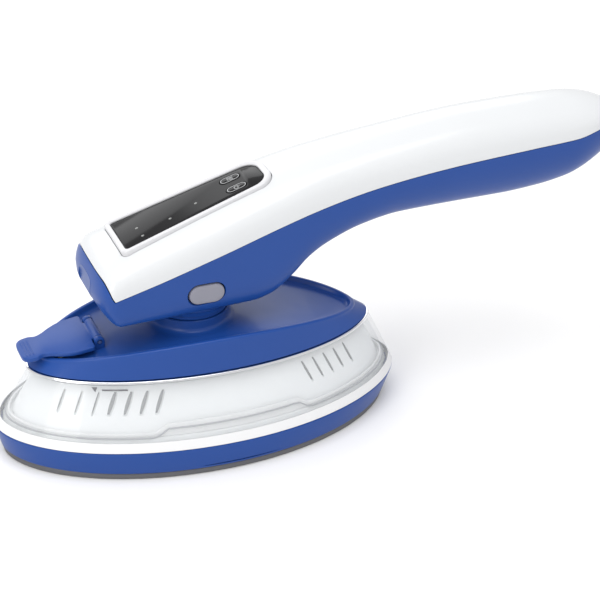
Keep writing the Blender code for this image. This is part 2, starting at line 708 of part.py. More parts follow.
def screw_piece(name, x, y, head_foot, tip, material, head_down=False):
    """One screw: its head's bearing face is at head_foot and its shank ends at tip."""
    head_top = head_foot - SCREW_HEAD if head_down else head_foot + SCREW_HEAD
    profile = [(0.0, head_top), (SCREW_HEAD_RADIUS, head_top), (SCREW_HEAD_RADIUS, head_foot),
               (SCREW_RADIUS, head_foot), (SCREW_RADIUS, tip), (0.0, tip)]
    if head_down:
        profile.reverse()
    return dress(turned(name, profile, (x, y, 0.0), SCREW_SIDES), material)


# ---------------------------------------------------------------- tank and housing
def make_inner_housing(material):
    """White floor of the tank with the dry well's wall standing on it."""
    well_top = below_rim(DISH_DEPTH + COVER_WALL + WELL_SEAL_HEIGHT + 2 * GAP)
    edge = TANK_WALL + 2 * GAP
    rings = [at_height(skirt(FLOOR_FOOT, edge), FLOOR_FOOT), at_height(skirt(FLOOR_TOP, edge), FLOOR_TOP),
             at_height(well(0.0), FLOOR_TOP), at_height(well(0.0), well_top),
             at_height(well(WELL_WALL), well_top), at_height(well(WELL_WALL), FLOOR_TOP)]
    housing = loft("inner_housing", rings, closed_loop=False)
    for x, y in SOLE_SCREWS + COVER_SCREWS:
        cut(housing, rod("floor_hole_cut", SCREW_RADIUS + GAP, FLOOR_FOOT - 0.001, FLOOR_TOP + 0.001,
                         centre=(x, y), sides=10))
    cut(housing, rod("feed_hole_cut", HOSE_RADIUS + GAP, FLOOR_FOOT - 0.001, FLOOR_TOP + 0.001,
                     centre=(FEED_X, 0.0), sides=10))
    wall_x = WELL_CENTRE_X + WELL_HALF_LENGTH
    cut(housing, rod("inlet_hole_cut", HOSE_RADIUS + GAP, wall_x - 0.006, wall_x + 0.004, "X",
                     (0.0, PUMP_CENTRE[2]), 10))
    return dress(housing, material)


def make_well_seal(material):
    """Soft ring between the dry well and the cover, following the arch."""
    foot = below_rim(DISH_DEPTH + COVER_WALL + WELL_SEAL_HEIGHT + GAP)
    top = below_rim(DISH_DEPTH + COVER_WALL + GAP)
    rings = [at_height(well(0.0), foot), at_height(well(0.0), top),
             at_height(well(WELL_WALL), top), at_height(well(WELL_WALL), foot)]
    return dress(loft("well_seal", rings, closed_loop=True), material)


def slot_x(row, index):
    """Where a slot crosses its mid height along X."""
    if row == "nose":
        return NOSE_SLOT_START_X + index * NOSE_SLOT_PITCH
    return HEEL_SLOT_START_X + index * HEEL_SLOT_PITCH


def slot_cutters():
    """Raked blades that open the liner's slots on both sides, joined into one cutter."""
    mesh = bmesh.new()
    rows = [("nose", NOSE_SLOTS, -1), ("heel", HEEL_SLOTS, 1)]
    for row, count, lean in rows:
        for index in range(count):
            x = slot_x(row, index)
            for side in (-1, 1):
                corners = []
                for height, shift in ((SLOT_FOOT, lean * SLOT_RAKE / 2), (SLOT_TOP, -lean * SLOT_RAKE / 2)):
                    for half in (-SLOT_WIDTH / 2, SLOT_WIDTH / 2):
                        for y in (side * 0.004, side * 0.055):
                            corners.append(mesh.verts.new((x + shift + half, y, height)))
                bmesh.ops.convex_hull(mesh, input=corners)
    return from_bmesh("slots_cut", mesh)


def make_liner(material):
    """White liner standing on the floor behind the clear wall, slotted so that water passes."""
    foot, top = FLOOR_TOP + GAP, COVER_FOOT - 0.0012
    outer = TANK_WALL + LINER_SPACING
    inner = outer + LINER_WALL
    rings = [at_height(skirt(foot, outer), foot), at_height(skirt(top, outer), top),
             at_height(skirt(top, inner), top), at_height(skirt(foot, inner), foot)]
    return dress(cut(loft("tank_liner", rings, closed_loop=True), slot_cutters()), material)


def band_top(x):
    """Stepped upper edge of the pearl band."""
    ramp = 0.003
    rise = min((x - BAND_STEP_FRONT_X) / ramp + 0.5, (BAND_STEP_REAR_X - x) / ramp + 0.5)
    return BAND_LOW + (BAND_HIGH - BAND_LOW) * min(max(rise, 0.0), 1.0)


def make_tank(clear, pearl, silicone, bright):
    """Clear skirt wall with its seal, the pearl band behind its foot and the trim ring on its top."""
    tank = loft("water_tank", [at_height(skirt(TANK_FOOT, 0.0), TANK_FOOT), at_height(skirt(TANK_TOP, 0.0), TANK_TOP),
                               at_height(skirt(TANK_TOP, TANK_WALL), TANK_TOP),
                               at_height(skirt(TANK_FOOT, TANK_WALL), TANK_FOOT)], closed_loop=True)
    seal_foot = BAND_TOP[0] + GAP
    seal = plate("tank_seal", [skirt(seal_foot, 0.0006, HIDDEN_SIDES), skirt(seal_foot, TANK_WALL, HIDDEN_SIDES)],
                 seal_foot, seal_foot + TANK_SEAL_HEIGHT)
    near, far, foot = TANK_WALL + GAP, TANK_WALL + GAP + BAND_WALL, FLOOR_TOP + GAP

    def stepped(inset):
        high = skirt(BAND_HIGH, inset)
        low = skirt(BAND_LOW, inset)
        ring = []
        for (x_low, y_low), (x_high, y_high) in zip(low, high):
            height = band_top(x_low)
            share = (height - BAND_LOW) / (BAND_HIGH - BAND_LOW)
            ring.append((x_low + (x_high - x_low) * share, y_low + (y_high - y_low) * share, height + 0.0020))
        return ring

    pearl_band = loft("tank_band", [at_height(skirt(foot, near + 0.0014), foot), stepped(near + 0.0014),
                                    stepped(far + 0.0014), at_height(skirt(foot, far + 0.0014), foot)],
                      closed_loop=True)
    top = TRIM_LINE[0]
    ring = loft("tank_trim_ring", [at_height(skirt(TRIM_FOOT, -TRIM_PROUD), TRIM_FOOT),
                                   at_height(skirt(top, -TRIM_PROUD), top), at_height(skirt(top, TANK_WALL), top),
                                   at_height(skirt(TRIM_FOOT, TANK_WALL), TRIM_FOOT)], closed_loop=True)
    return dress(tank, clear), dress(seal, silicone), dress(pearl_band, pearl), dress(ring, bright)


# ---------------------------------------------------------------- cover and flap
def make_cover(material):
    """Blue cover: leaning wall, arched rim, dished deck and the turret boss, with its inside parallel to them."""
    foot = COVER_FOOT
    half_length, half_width, centre = TRIM_LINE[1:]
    ring = at_height

    def rim(inset, height):
        return ring(oval(RIM_HALF_LENGTH - inset, RIM_HALF_WIDTH - inset, RIM_CENTRE_X), height)

    def turret(radius, height):
        return ring(circle(radius, (TURRET_X, 0.0), HEAD_SIDES), height)

    deck = below_rim(DISH_DEPTH)
    ceiling = below_rim(DISH_DEPTH + COVER_WALL)
    dish_foot = RIM_LIP + 0.0014
    inside = BOSS_RADIUS - COVER_WALL
    rings = [ring(oval(half_length, half_width, centre), foot), rim(-0.0004, below_rim(0.0010)),
             rim(0.0004, rim_height), rim(RIM_LIP, rim_height), rim(dish_foot, deck),
             ring(well(0.0), deck), ring(well(WELL_WALL), deck), turret(BOSS_RADIUS + BOSS_FLARE, deck),
             turret(BOSS_RADIUS, BOSS_TOP), turret(SPINDLE_RADIUS + GAP, BOSS_TOP),
             turret(SPINDLE_RADIUS + GAP, ROOF_UNDERSIDE), turret(inside, ROOF_UNDERSIDE), turret(inside, ceiling),
             ring(well(WELL_WALL), ceiling), ring(well(0.0), ceiling), rim(dish_foot + COVER_WALL / 2, ceiling),
             ring(oval(half_length - COVER_WALL, half_width - COVER_WALL, centre), foot)]
    cover = loft("top_cover", rings, closed_loop=True)
    for x, y in COVER_SCREWS:
        join(cover, rod("cover_post_join", COVER_POST_RADIUS, FLOOR_TOP + GAP, rim_height(x) - DISH_DEPTH - 0.001,
                        centre=(x, y), sides=10))
    lug_foot = rim_height(FLAP_HINGE_X) - DISH_DEPTH - 0.0012
    for side in (-1, 1):
        near = side * (KNUCKLE_HALF_LENGTH + GAP)
        far = near + side * LUG_THICKNESS
        join(cover, box("lug_join", (FLAP_HINGE_X - KNUCKLE_RADIUS, min(near, far), lug_foot),
                        (FLAP_HINGE_X + KNUCKLE_RADIUS, max(near, far), FLAP_HINGE_Z)),
             rod("lug_head_join", KNUCKLE_RADIUS, near, far, "Y", (FLAP_HINGE_X, FLAP_HINGE_Z), 12))
    reach = KNUCKLE_HALF_LENGTH + LUG_THICKNESS + 0.002
    cut(cover, rod("pin_hole_cut", PIN_RADIUS + GAP, -reach, reach, "Y", (FLAP_HINGE_X, FLAP_HINGE_Z), 10),
        box("mouth_cut", (MOUTH_FRONT_X, -MOUTH_HALF_WIDTH, FLOOR_TOP),
            (MOUTH_REAR_X, MOUTH_HALF_WIDTH, rim_height(MOUTH_REAR_X) + 0.002)))
    for x, y in COVER_SCREWS:
        cut(cover, rod("post_hole_cut", SCREW_RADIUS + GAP, FLOOR_TOP - 0.001, FLOOR_TOP + 0.012,
                       centre=(x, y), sides=8))
    for x, y in spindle_screw_places():
        cut(cover, rod("roof_hole_cut", SCREW_RADIUS + GAP, ROOF_UNDERSIDE - 0.001, BOSS_TOP - 0.0006,
                       centre=(x, y), sides=8))
    return dress(cover, material)


def make_flap(material, pin_material, seal_material):
    """Filler flap with its knuckle, hinge pin and the plug that closes the mouth."""
    top = FLAP_THICKNESS / 2
    rear = KNUCKLE_RADIUS + 2 * GAP
    tab = FLAP_LENGTH + FLAP_TAB_LENGTH
    neck = KNUCKLE_HALF_LENGTH - 0.0008
    side = [(0.0, neck), (-rear, neck), (-rear, FLAP_REAR_HALF_WIDTH),
            (-FLAP_LENGTH + 0.0050, FLAP_FRONT_HALF_WIDTH), (-FLAP_LENGTH + 0.0015, FLAP_FRONT_HALF_WIDTH - 0.0006),
            (-FLAP_LENGTH, FLAP_TAB_HALF_WIDTH - 0.0010), (-FLAP_LENGTH - 0.0015, FLAP_TAB_HALF_WIDTH),
            (-tab + 0.0025, FLAP_TAB_HALF_WIDTH - 0.0006), (-tab + 0.0006, FLAP_TAB_HALF_WIDTH - 0.0024),
            (-tab, FLAP_TAB_HALF_WIDTH - 0.0048)]
    outline = side + [(x, -y) for x, y in reversed(side)]
    flap = plate("filler_flap", [outline], -top, top)
    join(flap, rod("knuckle_join", KNUCKLE_RADIUS, -KNUCKLE_HALF_LENGTH, KNUCKLE_HALF_LENGTH, "Y", (0.0, 0.0), 16))
    cut(flap, rod("flap_pin_cut", PIN_RADIUS + GAP, -0.02, 0.02, "Y", (0.0, 0.0), 10))
    cutters = [step.object for step in flap.modifiers]
    hold([flap] + cutters, (FLAP_HINGE_X, 0.0, FLAP_HINGE_Z), -FLAP_SLOPE, "flap_hinge")
    reach = KNUCKLE_HALF_LENGTH + GAP + LUG_THICKNESS
    pin = rod("flap_hinge_pin", PIN_RADIUS, -reach, reach, "Y", (FLAP_HINGE_X, FLAP_HINGE_Z), 10)
    plug_top = []
    clearance = 0.0006
    front, back = MOUTH_FRONT_X + PLUG_RELIEF, MOUTH_REAR_X - clearance
    half = MOUTH_HALF_WIDTH - clearance
    for x, y in ((front, -half), (back, -half), (back, half), (front, half)):
        below = (FLAP_HINGE_X - x) * math.tan(FLAP_SLOPE)
        plug_top.append((x, y, FLAP_HINGE_Z - below - (top + GAP) / math.cos(FLAP_SLOPE)))
    plug_foot = [(x, y, rim_height(x) - DISH_DEPTH - 0.0016) for x, y, _ in plug_top]
    plug = loft("filler_seal", [plug_foot, plug_top], closed_loop=False)
    return dress(flap, material), dress(pin, pin_material), dress(plug, seal_material)


# ---------------------------------------------------------------- turret
def spindle_screw_places():
    """Places of the screws that hold the spindle's flange up to the boss."""
    return [(TURRET_X + x, y) for x, y in circle(SPINDLE_SCREW_RING, (0.0, 0.0), SPINDLE_SCREW_COUNT)]


def make_turret(metal, slippery, tough, spring_steel):
    """Hollow spindle fixed under the boss, bearing washer, notched crown and its retaining clip."""
    flange_foot = FLANGE_TOP - SPINDLE_FLANGE
    groove = SPINDLE_RADIUS - 0.0012
    spindle = turned("swivel_spindle", [(SPINDLE_BORE, SPINDLE_TOP), (SPINDLE_RADIUS, SPINDLE_TOP),
                                        (SPINDLE_RADIUS, CLIP_FOOT + CLIP_HEIGHT + GAP / 2),
                                        (groove, CLIP_FOOT + CLIP_HEIGHT + GAP / 2), (groove, CLIP_FOOT - GAP / 2),
                                        (SPINDLE_RADIUS, CLIP_FOOT - GAP / 2), (SPINDLE_RADIUS, FLANGE_TOP),
                                        (SPINDLE_FLANGE_RADIUS, FLANGE_TOP), (SPINDLE_FLANGE_RADIUS, flange_foot),
                                        (SPINDLE_BORE, flange_foot)], (TURRET_X, 0.0, 0.0), 24)
    for x, y in spindle_screw_places():
        cut(spindle, rod("flange_hole_cut", SCREW_RADIUS + GAP, flange_foot - 0.001, FLANGE_TOP + 0.0004,
                         centre=(x, y), sides=8))
    hole = SPINDLE_RADIUS + GAP
    washer = plate("bearing_washer", [circle(BOSS_RADIUS - 0.0008, (TURRET_X, 0.0), 24),
                                      circle(hole, (TURRET_X, 0.0), 24)], BOSS_TOP + GAP, BOSS_TOP + GAP + WASHER_HEIGHT)
    inner = CROWN_RADIUS - CROWN_WALL
    floor_top = CROWN_FOOT + CROWN_FLOOR
    crown = turned("detent_crown", [(inner, CROWN_TOP), (CROWN_RADIUS, CROWN_TOP), (CROWN_RADIUS, CROWN_FOOT),
                                    (hole, CROWN_FOOT), (hole, floor_top), (inner, floor_top)],
                   (TURRET_X, 0.0, 0.0), 32)
    key_near = SPINDLE_RADIUS - KEYWAY_DEPTH
    join(crown, box("key_bar_join", (TURRET_X + key_near + GAP, -KEY_BAR_WIDTH / 2, CROWN_FOOT),
                    (TURRET_X + hole + 0.0008, KEY_BAR_WIDTH / 2, floor_top)))
    cut(spindle, box("keyway_cut", (TURRET_X + key_near, -KEY_BAR_WIDTH / 2 - GAP, CROWN_FOOT - GAP),
                     (TURRET_X + hole, KEY_BAR_WIDTH / 2 + GAP, SPINDLE_TOP + 0.001)))
    for index in range(CROWN_NOTCHES // 2):
        notch = box("notch_cut", (-inner - NOTCH_DEPTH, -NOTCH_WIDTH / 2, floor_top + 0.0006),
                    (inner + NOTCH_DEPTH, NOTCH_WIDTH / 2, CROWN_TOP + 0.001))
        notch.location = (TURRET_X, 0.0, 0.0)
        notch.rotation_euler = (0.0, 0.0, math.pi * index / (CROWN_NOTCHES // 2))
        cut(crown, notch)
    clip_outline = clip_points(groove + GAP / 2, CLIP_RADIUS)
    clip = plate("retaining_clip", [clip_outline], CLIP_FOOT, CLIP_FOOT + CLIP_HEIGHT)
    return dress(spindle, metal), dress(washer, slippery), dress(crown, tough), dress(clip, spring_steel)


def clip_points(inner, outer):
    """An open snap ring with its gap towards the nose."""
    steps, opening = 16, math.radians(50)
    angles = [math.pi + opening / 2 + (2 * math.pi - opening) * i / steps for i in range(steps + 1)]
    arc = [(TURRET_X + outer * math.cos(a), outer * math.sin(a)) for a in angles]
    return arc + [(TURRET_X + inner * math.cos(a), inner * math.sin(a)) for a in reversed(angles)]


# ---------------------------------------------------------------- handle
def handle_shell(name, above, material):
    """One half of the hollow handle, kept above or below the split."""
    shell = handle_form(name, 0.0, HANDLE_SIDES, HANDLE_STATIONS)
    cut(shell, handle_form(name + "_hollow_cut", HANDLE_WALL, HOLLOW_SIDES, HOLLOW_STATIONS),
        split_wedge(name + "_split_cut", not above))
    return dress(shell, material)


def panel_outline(border, ends):
    """Outline of the bezel in its own plane, moved inward: square corners in front, round ones behind."""
    length = BEZEL_LENGTH - ends
    front, rear = BEZEL_FRONT_HALF_WIDTH - border, BEZEL_REAR_HALF_WIDTH - border
    shrink = border * 0.6
    points = []
    for corner_x, width, radius, start in ((length, rear, BEZEL_REAR_CORNER - shrink, 0.0),
                                           (ends * 0.85, front, max(BEZEL_FRONT_CORNER - shrink, 0.0008), 90.0)):
        steps = 5 if start == 0.0 else 3
        inward = -1 if start == 0.0 else 1
        for i in range(steps + 1):
            angle = math.radians(start + 90.0 * i / steps)
            points.append((corner_x + inward * radius + radius * math.cos(angle),
                           width - radius + radius * math.sin(angle)))
    return points[:] + [(x, -y) for x, y in reversed(points)]


def in_panel(things, name):
    """Put pieces made in the panel's own plane onto the handle's sloping top."""
    return hold(things, (PANEL_FRONT[0], 0.0, PANEL_FRONT[1]), -PANEL_SLOPE, name)


def make_panel(bezel_material, glass_material, key_material, board_material):
    """Bezel, glass, the two keys and the control board below them."""
    glass_top = 0.0
    glass_foot = glass_top - GLASS_THICKNESS
    outer = panel_outline(0.0, 0.0)
    opening = panel_outline(BEZEL_BORDER, BEZEL_ENDS)
    ledge = panel_outline(BEZEL_BORDER + GLASS_LEDGE, BEZEL_ENDS + GLASS_LEDGE)
    foot = BEZEL_PROUD - BEZEL_HEIGHT
    rings = [at_height(outer, foot), at_height(outer, BEZEL_PROUD - 0.0006),
             at_height(panel_outline(0.0006, 0.0006), BEZEL_PROUD), at_height(opening, BEZEL_PROUD - 0.0003),
             at_height(opening, glass_foot - GAP), at_height(ledge, glass_foot - GAP), at_height(ledge, foot)]
    bezel = loft("panel_bezel", rings, closed_loop=True)
    key_holes = [pill(KEY_LENGTH + 2 * GAP, KEY_WIDTH + 2 * GAP, (KEY_PLACE, side * KEY_SIDE)) for side in (-1, 1)]
    glass = plate("panel_glass", [panel_outline(BEZEL_BORDER + GAP, BEZEL_ENDS + GAP)] + key_holes,
                  glass_foot, glass_top)
    keys = []
    for name, side in (("power_key", -1), ("steam_key", 1)):
        centre = (KEY_PLACE, side * KEY_SIDE)
        key = plate(name, [pill(KEY_LENGTH, KEY_WIDTH, centre)], glass_foot - GAP - KEY_FLANGE / 2, glass_top + 0.0002)
        flange = plate(name + "_flange_join", [pill(KEY_LENGTH + 0.0016, KEY_WIDTH + 0.0016, centre)],
                       glass_foot - GAP - KEY_FLANGE, glass_foot - GAP)
        join(key, flange)
        flange.name = name + "_flange_join"
        keys.append(key)
    board = plate("control_board", [panel_outline(BEZEL_BORDER + GLASS_LEDGE + GAP, BEZEL_ENDS + GLASS_LEDGE + GAP)],
                  -BOARD_DROP - BOARD_THICKNESS, -BOARD_DROP)
    switch_top = glass_foot - GAP - KEY_FLANGE - KEY_TRAVEL - GAP
    for side in (-1, 1):
        join(board, box("switch_join", (KEY_PLACE - 0.002, side * KEY_SIDE - 0.002, -BOARD_DROP - 0.0006),
                        (KEY_PLACE + 0.002, side * KEY_SIDE + 0.002, switch_top)))
    for place_x in (0.012, 0.050):
        join(board, box("chip_join", (place_x - 0.004, -0.004, -BOARD_DROP - BOARD_THICKNESS - 0.0014),
                        (place_x + 0.004, 0.004, -BOARD_DROP - 0.0006)))
    pieces = [bezel, glass, board] + keys
    cutters = [step.object for piece in pieces for step in piece.modifiers]
    in_panel(pieces + cutters, "panel_plane")
    for piece, material in zip(pieces, [bezel_material, glass_material, board_material, key_material, key_material]):
        dress(piece, material)
    return pieces


def panel_opening():
    """Cutter for the bezel's opening in the upper shell."""
    opening = plate("bezel_opening_cut", [panel_outline(-GAP, -GAP)], -0.012, 0.012)
    in_panel([opening], "opening_plane")
    return opening


def screw_seat(x):
    """Height of a handle screw's bearing face."""
    return bottom_line(x) + HANDLE_WALL + 0.0010


def make_handle_shells(white, blue):
    """Upper and lower shells with the panel's opening, the turret's neck, the buttons' slots and the screw posts."""
    upper = handle_shell("handle_upper_shell", True, white)
    cut(upper, panel_opening())
    lower = handle_shell("handle_lower_shell", False, blue)
    join(lower, rod("neck_join", BOSS_RADIUS, NECK_FOOT, UNDERSIDE + 0.0012, centre=(TURRET_X, 0.0), sides=24))
    cut(lower, rod("spindle_hole_cut", SPINDLE_RADIUS + GAP, NECK_FOOT - 0.001, HANDLE_FLOOR + 0.001,
                   centre=(TURRET_X, 0.0), sides=24))
    cut(lower, rod("crown_seat_cut", CROWN_RADIUS + 2 * GAP, HANDLE_FLOOR, CROWN_TOP, centre=(TURRET_X, 0.0),
                   sides=24))
    slot = plate("button_slot_cut", [pill(BUTTON_LENGTH + 2 * GAP, BUTTON_WIDTH + 2 * GAP)], -0.04, 0.04)
    slot.rotation_euler = (math.pi / 2, 0.0, 0.0)
    slot.location = (TURRET_X, 0.0, BUTTON_HEIGHT)
    cut(lower, slot)
    for x in HANDLE_SCREWS_X:
        seam = split_line(x)
        roof = top_line(x) - HANDLE_WALL / 2
        floor = bottom_line(x) + HANDLE_WALL / 2
        join(upper, rod("upper_post_join", HANDLE_POST_RADIUS, seam + GAP, roof, centre=(x, 0.0), sides=10))
        join(lower, rod("lower_post_join", HANDLE_POST_RADIUS + 0.0010, floor, seam - GAP, centre=(x, 0.0),
                        sides=12))
        cut(lower, rod("screw_way_cut", SCREW_HEAD_RADIUS + GAP, floor - 0.01, screw_seat(x), centre=(x, 0.0),
                       sides=10),
            rod("lower_screw_cut", SCREW_RADIUS + GAP, floor, seam + 0.001, centre=(x, 0.0), sides=8))
        cut(upper, rod("upper_screw_cut", SCREW_RADIUS + GAP, seam - 0.001, seam + 0.0085, centre=(x, 0.0), sides=8))
    low, high = TERMINAL_X
    for x in (low + 0.004, high - 0.004):
        join(lower, box("terminal_rib_join", (x - 0.0010, -0.0050, bottom_line(x) + HANDLE_WALL / 2),
                        (x + 0.0010, 0.0050, TERMINAL_FOOT - GAP)))
    hole = rod("gland_hole_cut", GLAND_RADIUS + GAP, HANDLE_TAIL_X - 0.012, HANDLE_TAIL_X + 0.01, "X",
               (0.0, gland_height()), 16)
    hole_copy = rod("gland_hole_upper_cut", GLAND_RADIUS + GAP, HANDLE_TAIL_X - 0.012, HANDLE_TAIL_X + 0.01, "X",
                    (0.0, gland_height()), 16)
    cut(lower, hole)
    cut(upper, hole_copy)
    return upper, lower


def gland_height():
    """Height of the cord gland's axis, at the middle of the tail."""
    return middle_line(HANDLE_TAIL_X)


def make_button(name, side, material):
    """A release button: face, retaining flange, stem over the crown's wall and a tooth in its notch."""
    def slab(label, length, width, near, far):
        piece = plate(label, [pill(length, width)], near, far)
        piece.rotation_euler = (math.pi / 2, 0.0, 0.0)
        piece.location = (TURRET_X, 0.0, BUTTON_HEIGHT)
        return piece

    # A plate turned about X by a quarter turn has its own +Z along -Y.
    span = sorted((-side * BUTTON_FACE_Y, -side * (BUTTON_SEAT_Y - 0.0008)))
    button = slab(name, BUTTON_LENGTH, BUTTON_WIDTH, *span)
    span = sorted((-side * BUTTON_SEAT_Y, -side * (BUTTON_SEAT_Y - BUTTON_FLANGE)))
    flange = slab(name + "_flange_join", BUTTON_LENGTH + 0.0030, BUTTON_WIDTH + 0.0030, *span)
    inner_radius = CROWN_RADIUS - CROWN_WALL
    stem_end = CHIMNEY_RADIUS + 0.0042
    arm_out = inner_radius - 0.0006
    stem_foot = CROWN_TOP + 0.0012
    tooth_foot = CROWN_FOOT + CROWN_FLOOR + 0.0012

    def block(label, width, near, far, low, high):
        ys, half = sorted((side * near, side * far)), width / 2
        return box(label, (TURRET_X - half, ys[0], low), (TURRET_X + half, ys[1], high))

    join(button, flange,
         block(name + "_stem_join", STEM_WIDTH, stem_end, BUTTON_SEAT_Y - 0.0006, stem_foot, stem_foot + 0.0040),
         block(name + "_arm_join", STEM_WIDTH, stem_end, arm_out, tooth_foot, stem_foot + 0.0020),
         block(name + "_tooth_join", NOTCH_WIDTH - 2 * GAP, arm_out - 0.0012, inner_radius + NOTCH_DEPTH - GAP,
               tooth_foot, tooth_foot + 0.0022))
    return dress(button, material)


def make_bridge(material):
    """Bridge over the crown: two legs on the handle's floor, a plate and a chimney that seats the button springs."""
    foot = HANDLE_FLOOR + 2 * GAP
    plate_foot = CROWN_TOP + 0.0012 + 0.0040 + 0.0006
    plate_top = plate_foot + BRIDGE_THICKNESS
    half = 0.0080
    bridge = plate("release_bridge", [[(TURRET_X - BRIDGE_HALF_SPAN, -half), (TURRET_X + BRIDGE_HALF_SPAN, -half),
                                       (TURRET_X + BRIDGE_HALF_SPAN, half), (TURRET_X - BRIDGE_HALF_SPAN, half)]],
                   plate_foot, plate_top)
    for side in (-1, 1):
        xs = sorted((TURRET_X + side * BRIDGE_HALF_SPAN, TURRET_X + side * (BRIDGE_HALF_SPAN - BRIDGE_LEG)))
        join(bridge, box("bridge_leg_join", (xs[0], -half, foot), (xs[1], half, plate_foot + 0.0006)))
    join(bridge, rod("chimney_join", CHIMNEY_RADIUS, SPINDLE_TOP + 0.0006, plate_foot + 0.0008,
                     centre=(TURRET_X, 0.0), sides=20))
    cut(bridge, rod("chimney_bore_cut", CHIMNEY_RADIUS - CHIMNEY_WALL, SPINDLE_TOP - 0.001, plate_top + 0.001,
                    centre=(TURRET_X, 0.0), sides=20))
    return dress(bridge, material)


def make_spring(name, side, material):
    """Small coil between the bridge's chimney and a button's stem."""
    start, end = CHIMNEY_RADIUS + GAP + SPRING_WIRE, CHIMNEY_RADIUS + 0.0042 - GAP - SPRING_WIRE
    turns, per_turn = 3, 10
    height = CROWN_TOP + 0.0012 + 0.0020
    points = []
    for i in range(turns * per_turn + 1):
        angle = 2 * math.pi * i / per_turn
        along = start + (end - start) * i / (turns * per_turn)
        points.append((TURRET_X + SPRING_RADIUS * math.cos(angle), side * along,
                       height + SPRING_RADIUS * math.sin(angle)))
    return dress(tube(name, points, SPRING_WIRE, 0), material)


# ---------------------------------------------------------------- pump, hoses and wires
def make_pump(body_material, coil_material, rubber):
    """Solenoid pump lying in the dry well on a rubber cradle, with its coil round the middle."""
    x, y, z = PUMP_CENTRE
    half = PUMP_LENGTH / 2
    waist = PUMP_RADIUS - 0.0025
    tip = half + 0.0040
    coil_half = COIL_LENGTH / 2 + GAP
    profile = [(0.0, tip), (NIPPLE_RADIUS, tip), (NIPPLE_RADIUS, half), (PUMP_RADIUS, half),
               (PUMP_RADIUS, coil_half), (waist, coil_half), (waist, -coil_half), (PUMP_RADIUS, -coil_half),
               (PUMP_RADIUS, -half), (NIPPLE_RADIUS, -half), (NIPPLE_RADIUS, -tip), (0.0, -tip)]
    pump = turned("pump_body", profile, (x, y, z), 16)
    pump.rotation_euler = (0.0, math.pi / 2, 0.0)
    coil = turned("pump_coil", [(waist + GAP, COIL_LENGTH / 2), (COIL_RADIUS, COIL_LENGTH / 2),
                                (COIL_RADIUS, -COIL_LENGTH / 2), (waist + GAP, -COIL_LENGTH / 2)], (x, y, z), 16)
    coil.rotation_euler = (0.0, math.pi / 2, 0.0)
    cradle = box("pump_cradle", (x - half, -0.006, FLOOR_TOP + GAP), (x + half, 0.006, z - 0.003))
    cut(cradle, rod("cradle_pump_cut", PUMP_RADIUS + GAP, x - half - 0.001, x + half + 0.001, "X", (y, z), 16),
        rod("cradle_coil_cut", COIL_RADIUS + GAP, x - coil_half, x + coil_half, "X", (y, z), 16))
    return dress(pump, body_material), dress(coil, coil_material), dress(cradle, rubber)


def make_hoses(material):
    """Inlet hose from the tank to the pump and feed hose from the pump down to the steam chamber."""
    x, _, z = PUMP_CENTRE
    reach = PUMP_LENGTH / 2 + 0.0040 + GAP
    inlet = tube("inlet_hose", smooth_route([(x + reach, 0.0, z), (x + reach + 0.004, 0.0, z), (x + reach + 0.009, 0.0, z),
                                             (INLET_FOOT_X - 0.003, 0.0, z - 0.0012), (INLET_FOOT_X, 0.0, z - 0.006),
                                             (INLET_FOOT_X, 0.0, FLOOR_TOP + 0.0012)], 3), HOSE_RADIUS)
    feed = tube("steam_feed_hose", smooth_route([(x - reach, 0.0, z), (x - reach - 0.0012, 0.0, z),
                                                 (x - reach - 0.0026, 0.0, z), (FEED_X + 0.0010, 0.0, z - 0.0032),
                                                 (FEED_X, 0.0, z - 0.0080), (FEED_X, 0.0, SHIELD_FOOT),
                                                 (FEED_X, 0.0, BLOCK_TOP - 0.0010)], 3), HOSE_RADIUS)
    return dress(inlet, material), dress(feed, material)


def make_wiring(block_material, lead_material, rubber):
    """Connector block in the dry well, lead up through the spindle, terminal block in the grip and the cord gland."""
    block_top = FLOOR_TOP + 0.0130
    connector = box("connector_block", (TURRET_X - 0.009, -0.0072, FLOOR_TOP + GAP),
                    (TURRET_X + 0.009, 0.0072, block_top))
    low, high = TERMINAL_X
    terminal = box("terminal_block", (low, -0.0075, TERMINAL_FOOT), (high, 0.0075, TERMINAL_FOOT + 0.0110))
    lead = tube("internal_lead", smooth_route([(TURRET_X, 0.0, block_top + GAP), (TURRET_X, 0.0, SPINDLE_TOP),
                                               (TURRET_X, 0.0, 0.0860), (0.0120, 0.0050, 0.0930),
                                               (0.0400, 0.0100, 0.1000), (0.0660, 0.0110, 0.1060),
                                               (0.1120, 0.0105, 0.1110), (low - 0.0060, 0.0035, 0.1125),
                                               (low - 0.0010, 0.0030, 0.1125)], 3), LEAD_RADIUS)
    start, end = HANDLE_TAIL_X - 0.0090, HANDLE_TAIL_X + GAP
    gland = turned("cord_gland", [(GLAND_BORE, end + GLAND_FLANGE), (GLAND_FLANGE_RADIUS, end + GLAND_FLANGE),
                                  (GLAND_FLANGE_RADIUS, end), (GLAND_RADIUS, end), (GLAND_RADIUS, start),
                                  (GLAND_BORE, start)], (0.0, 0.0, gland_height()), 20)
    gland.rotation_euler = (0.0, math.pi / 2, 0.0)
    return (dress(connector, block_material), dress(terminal, block_material), dress(lead, lead_material),
            dress(gland, rubber))


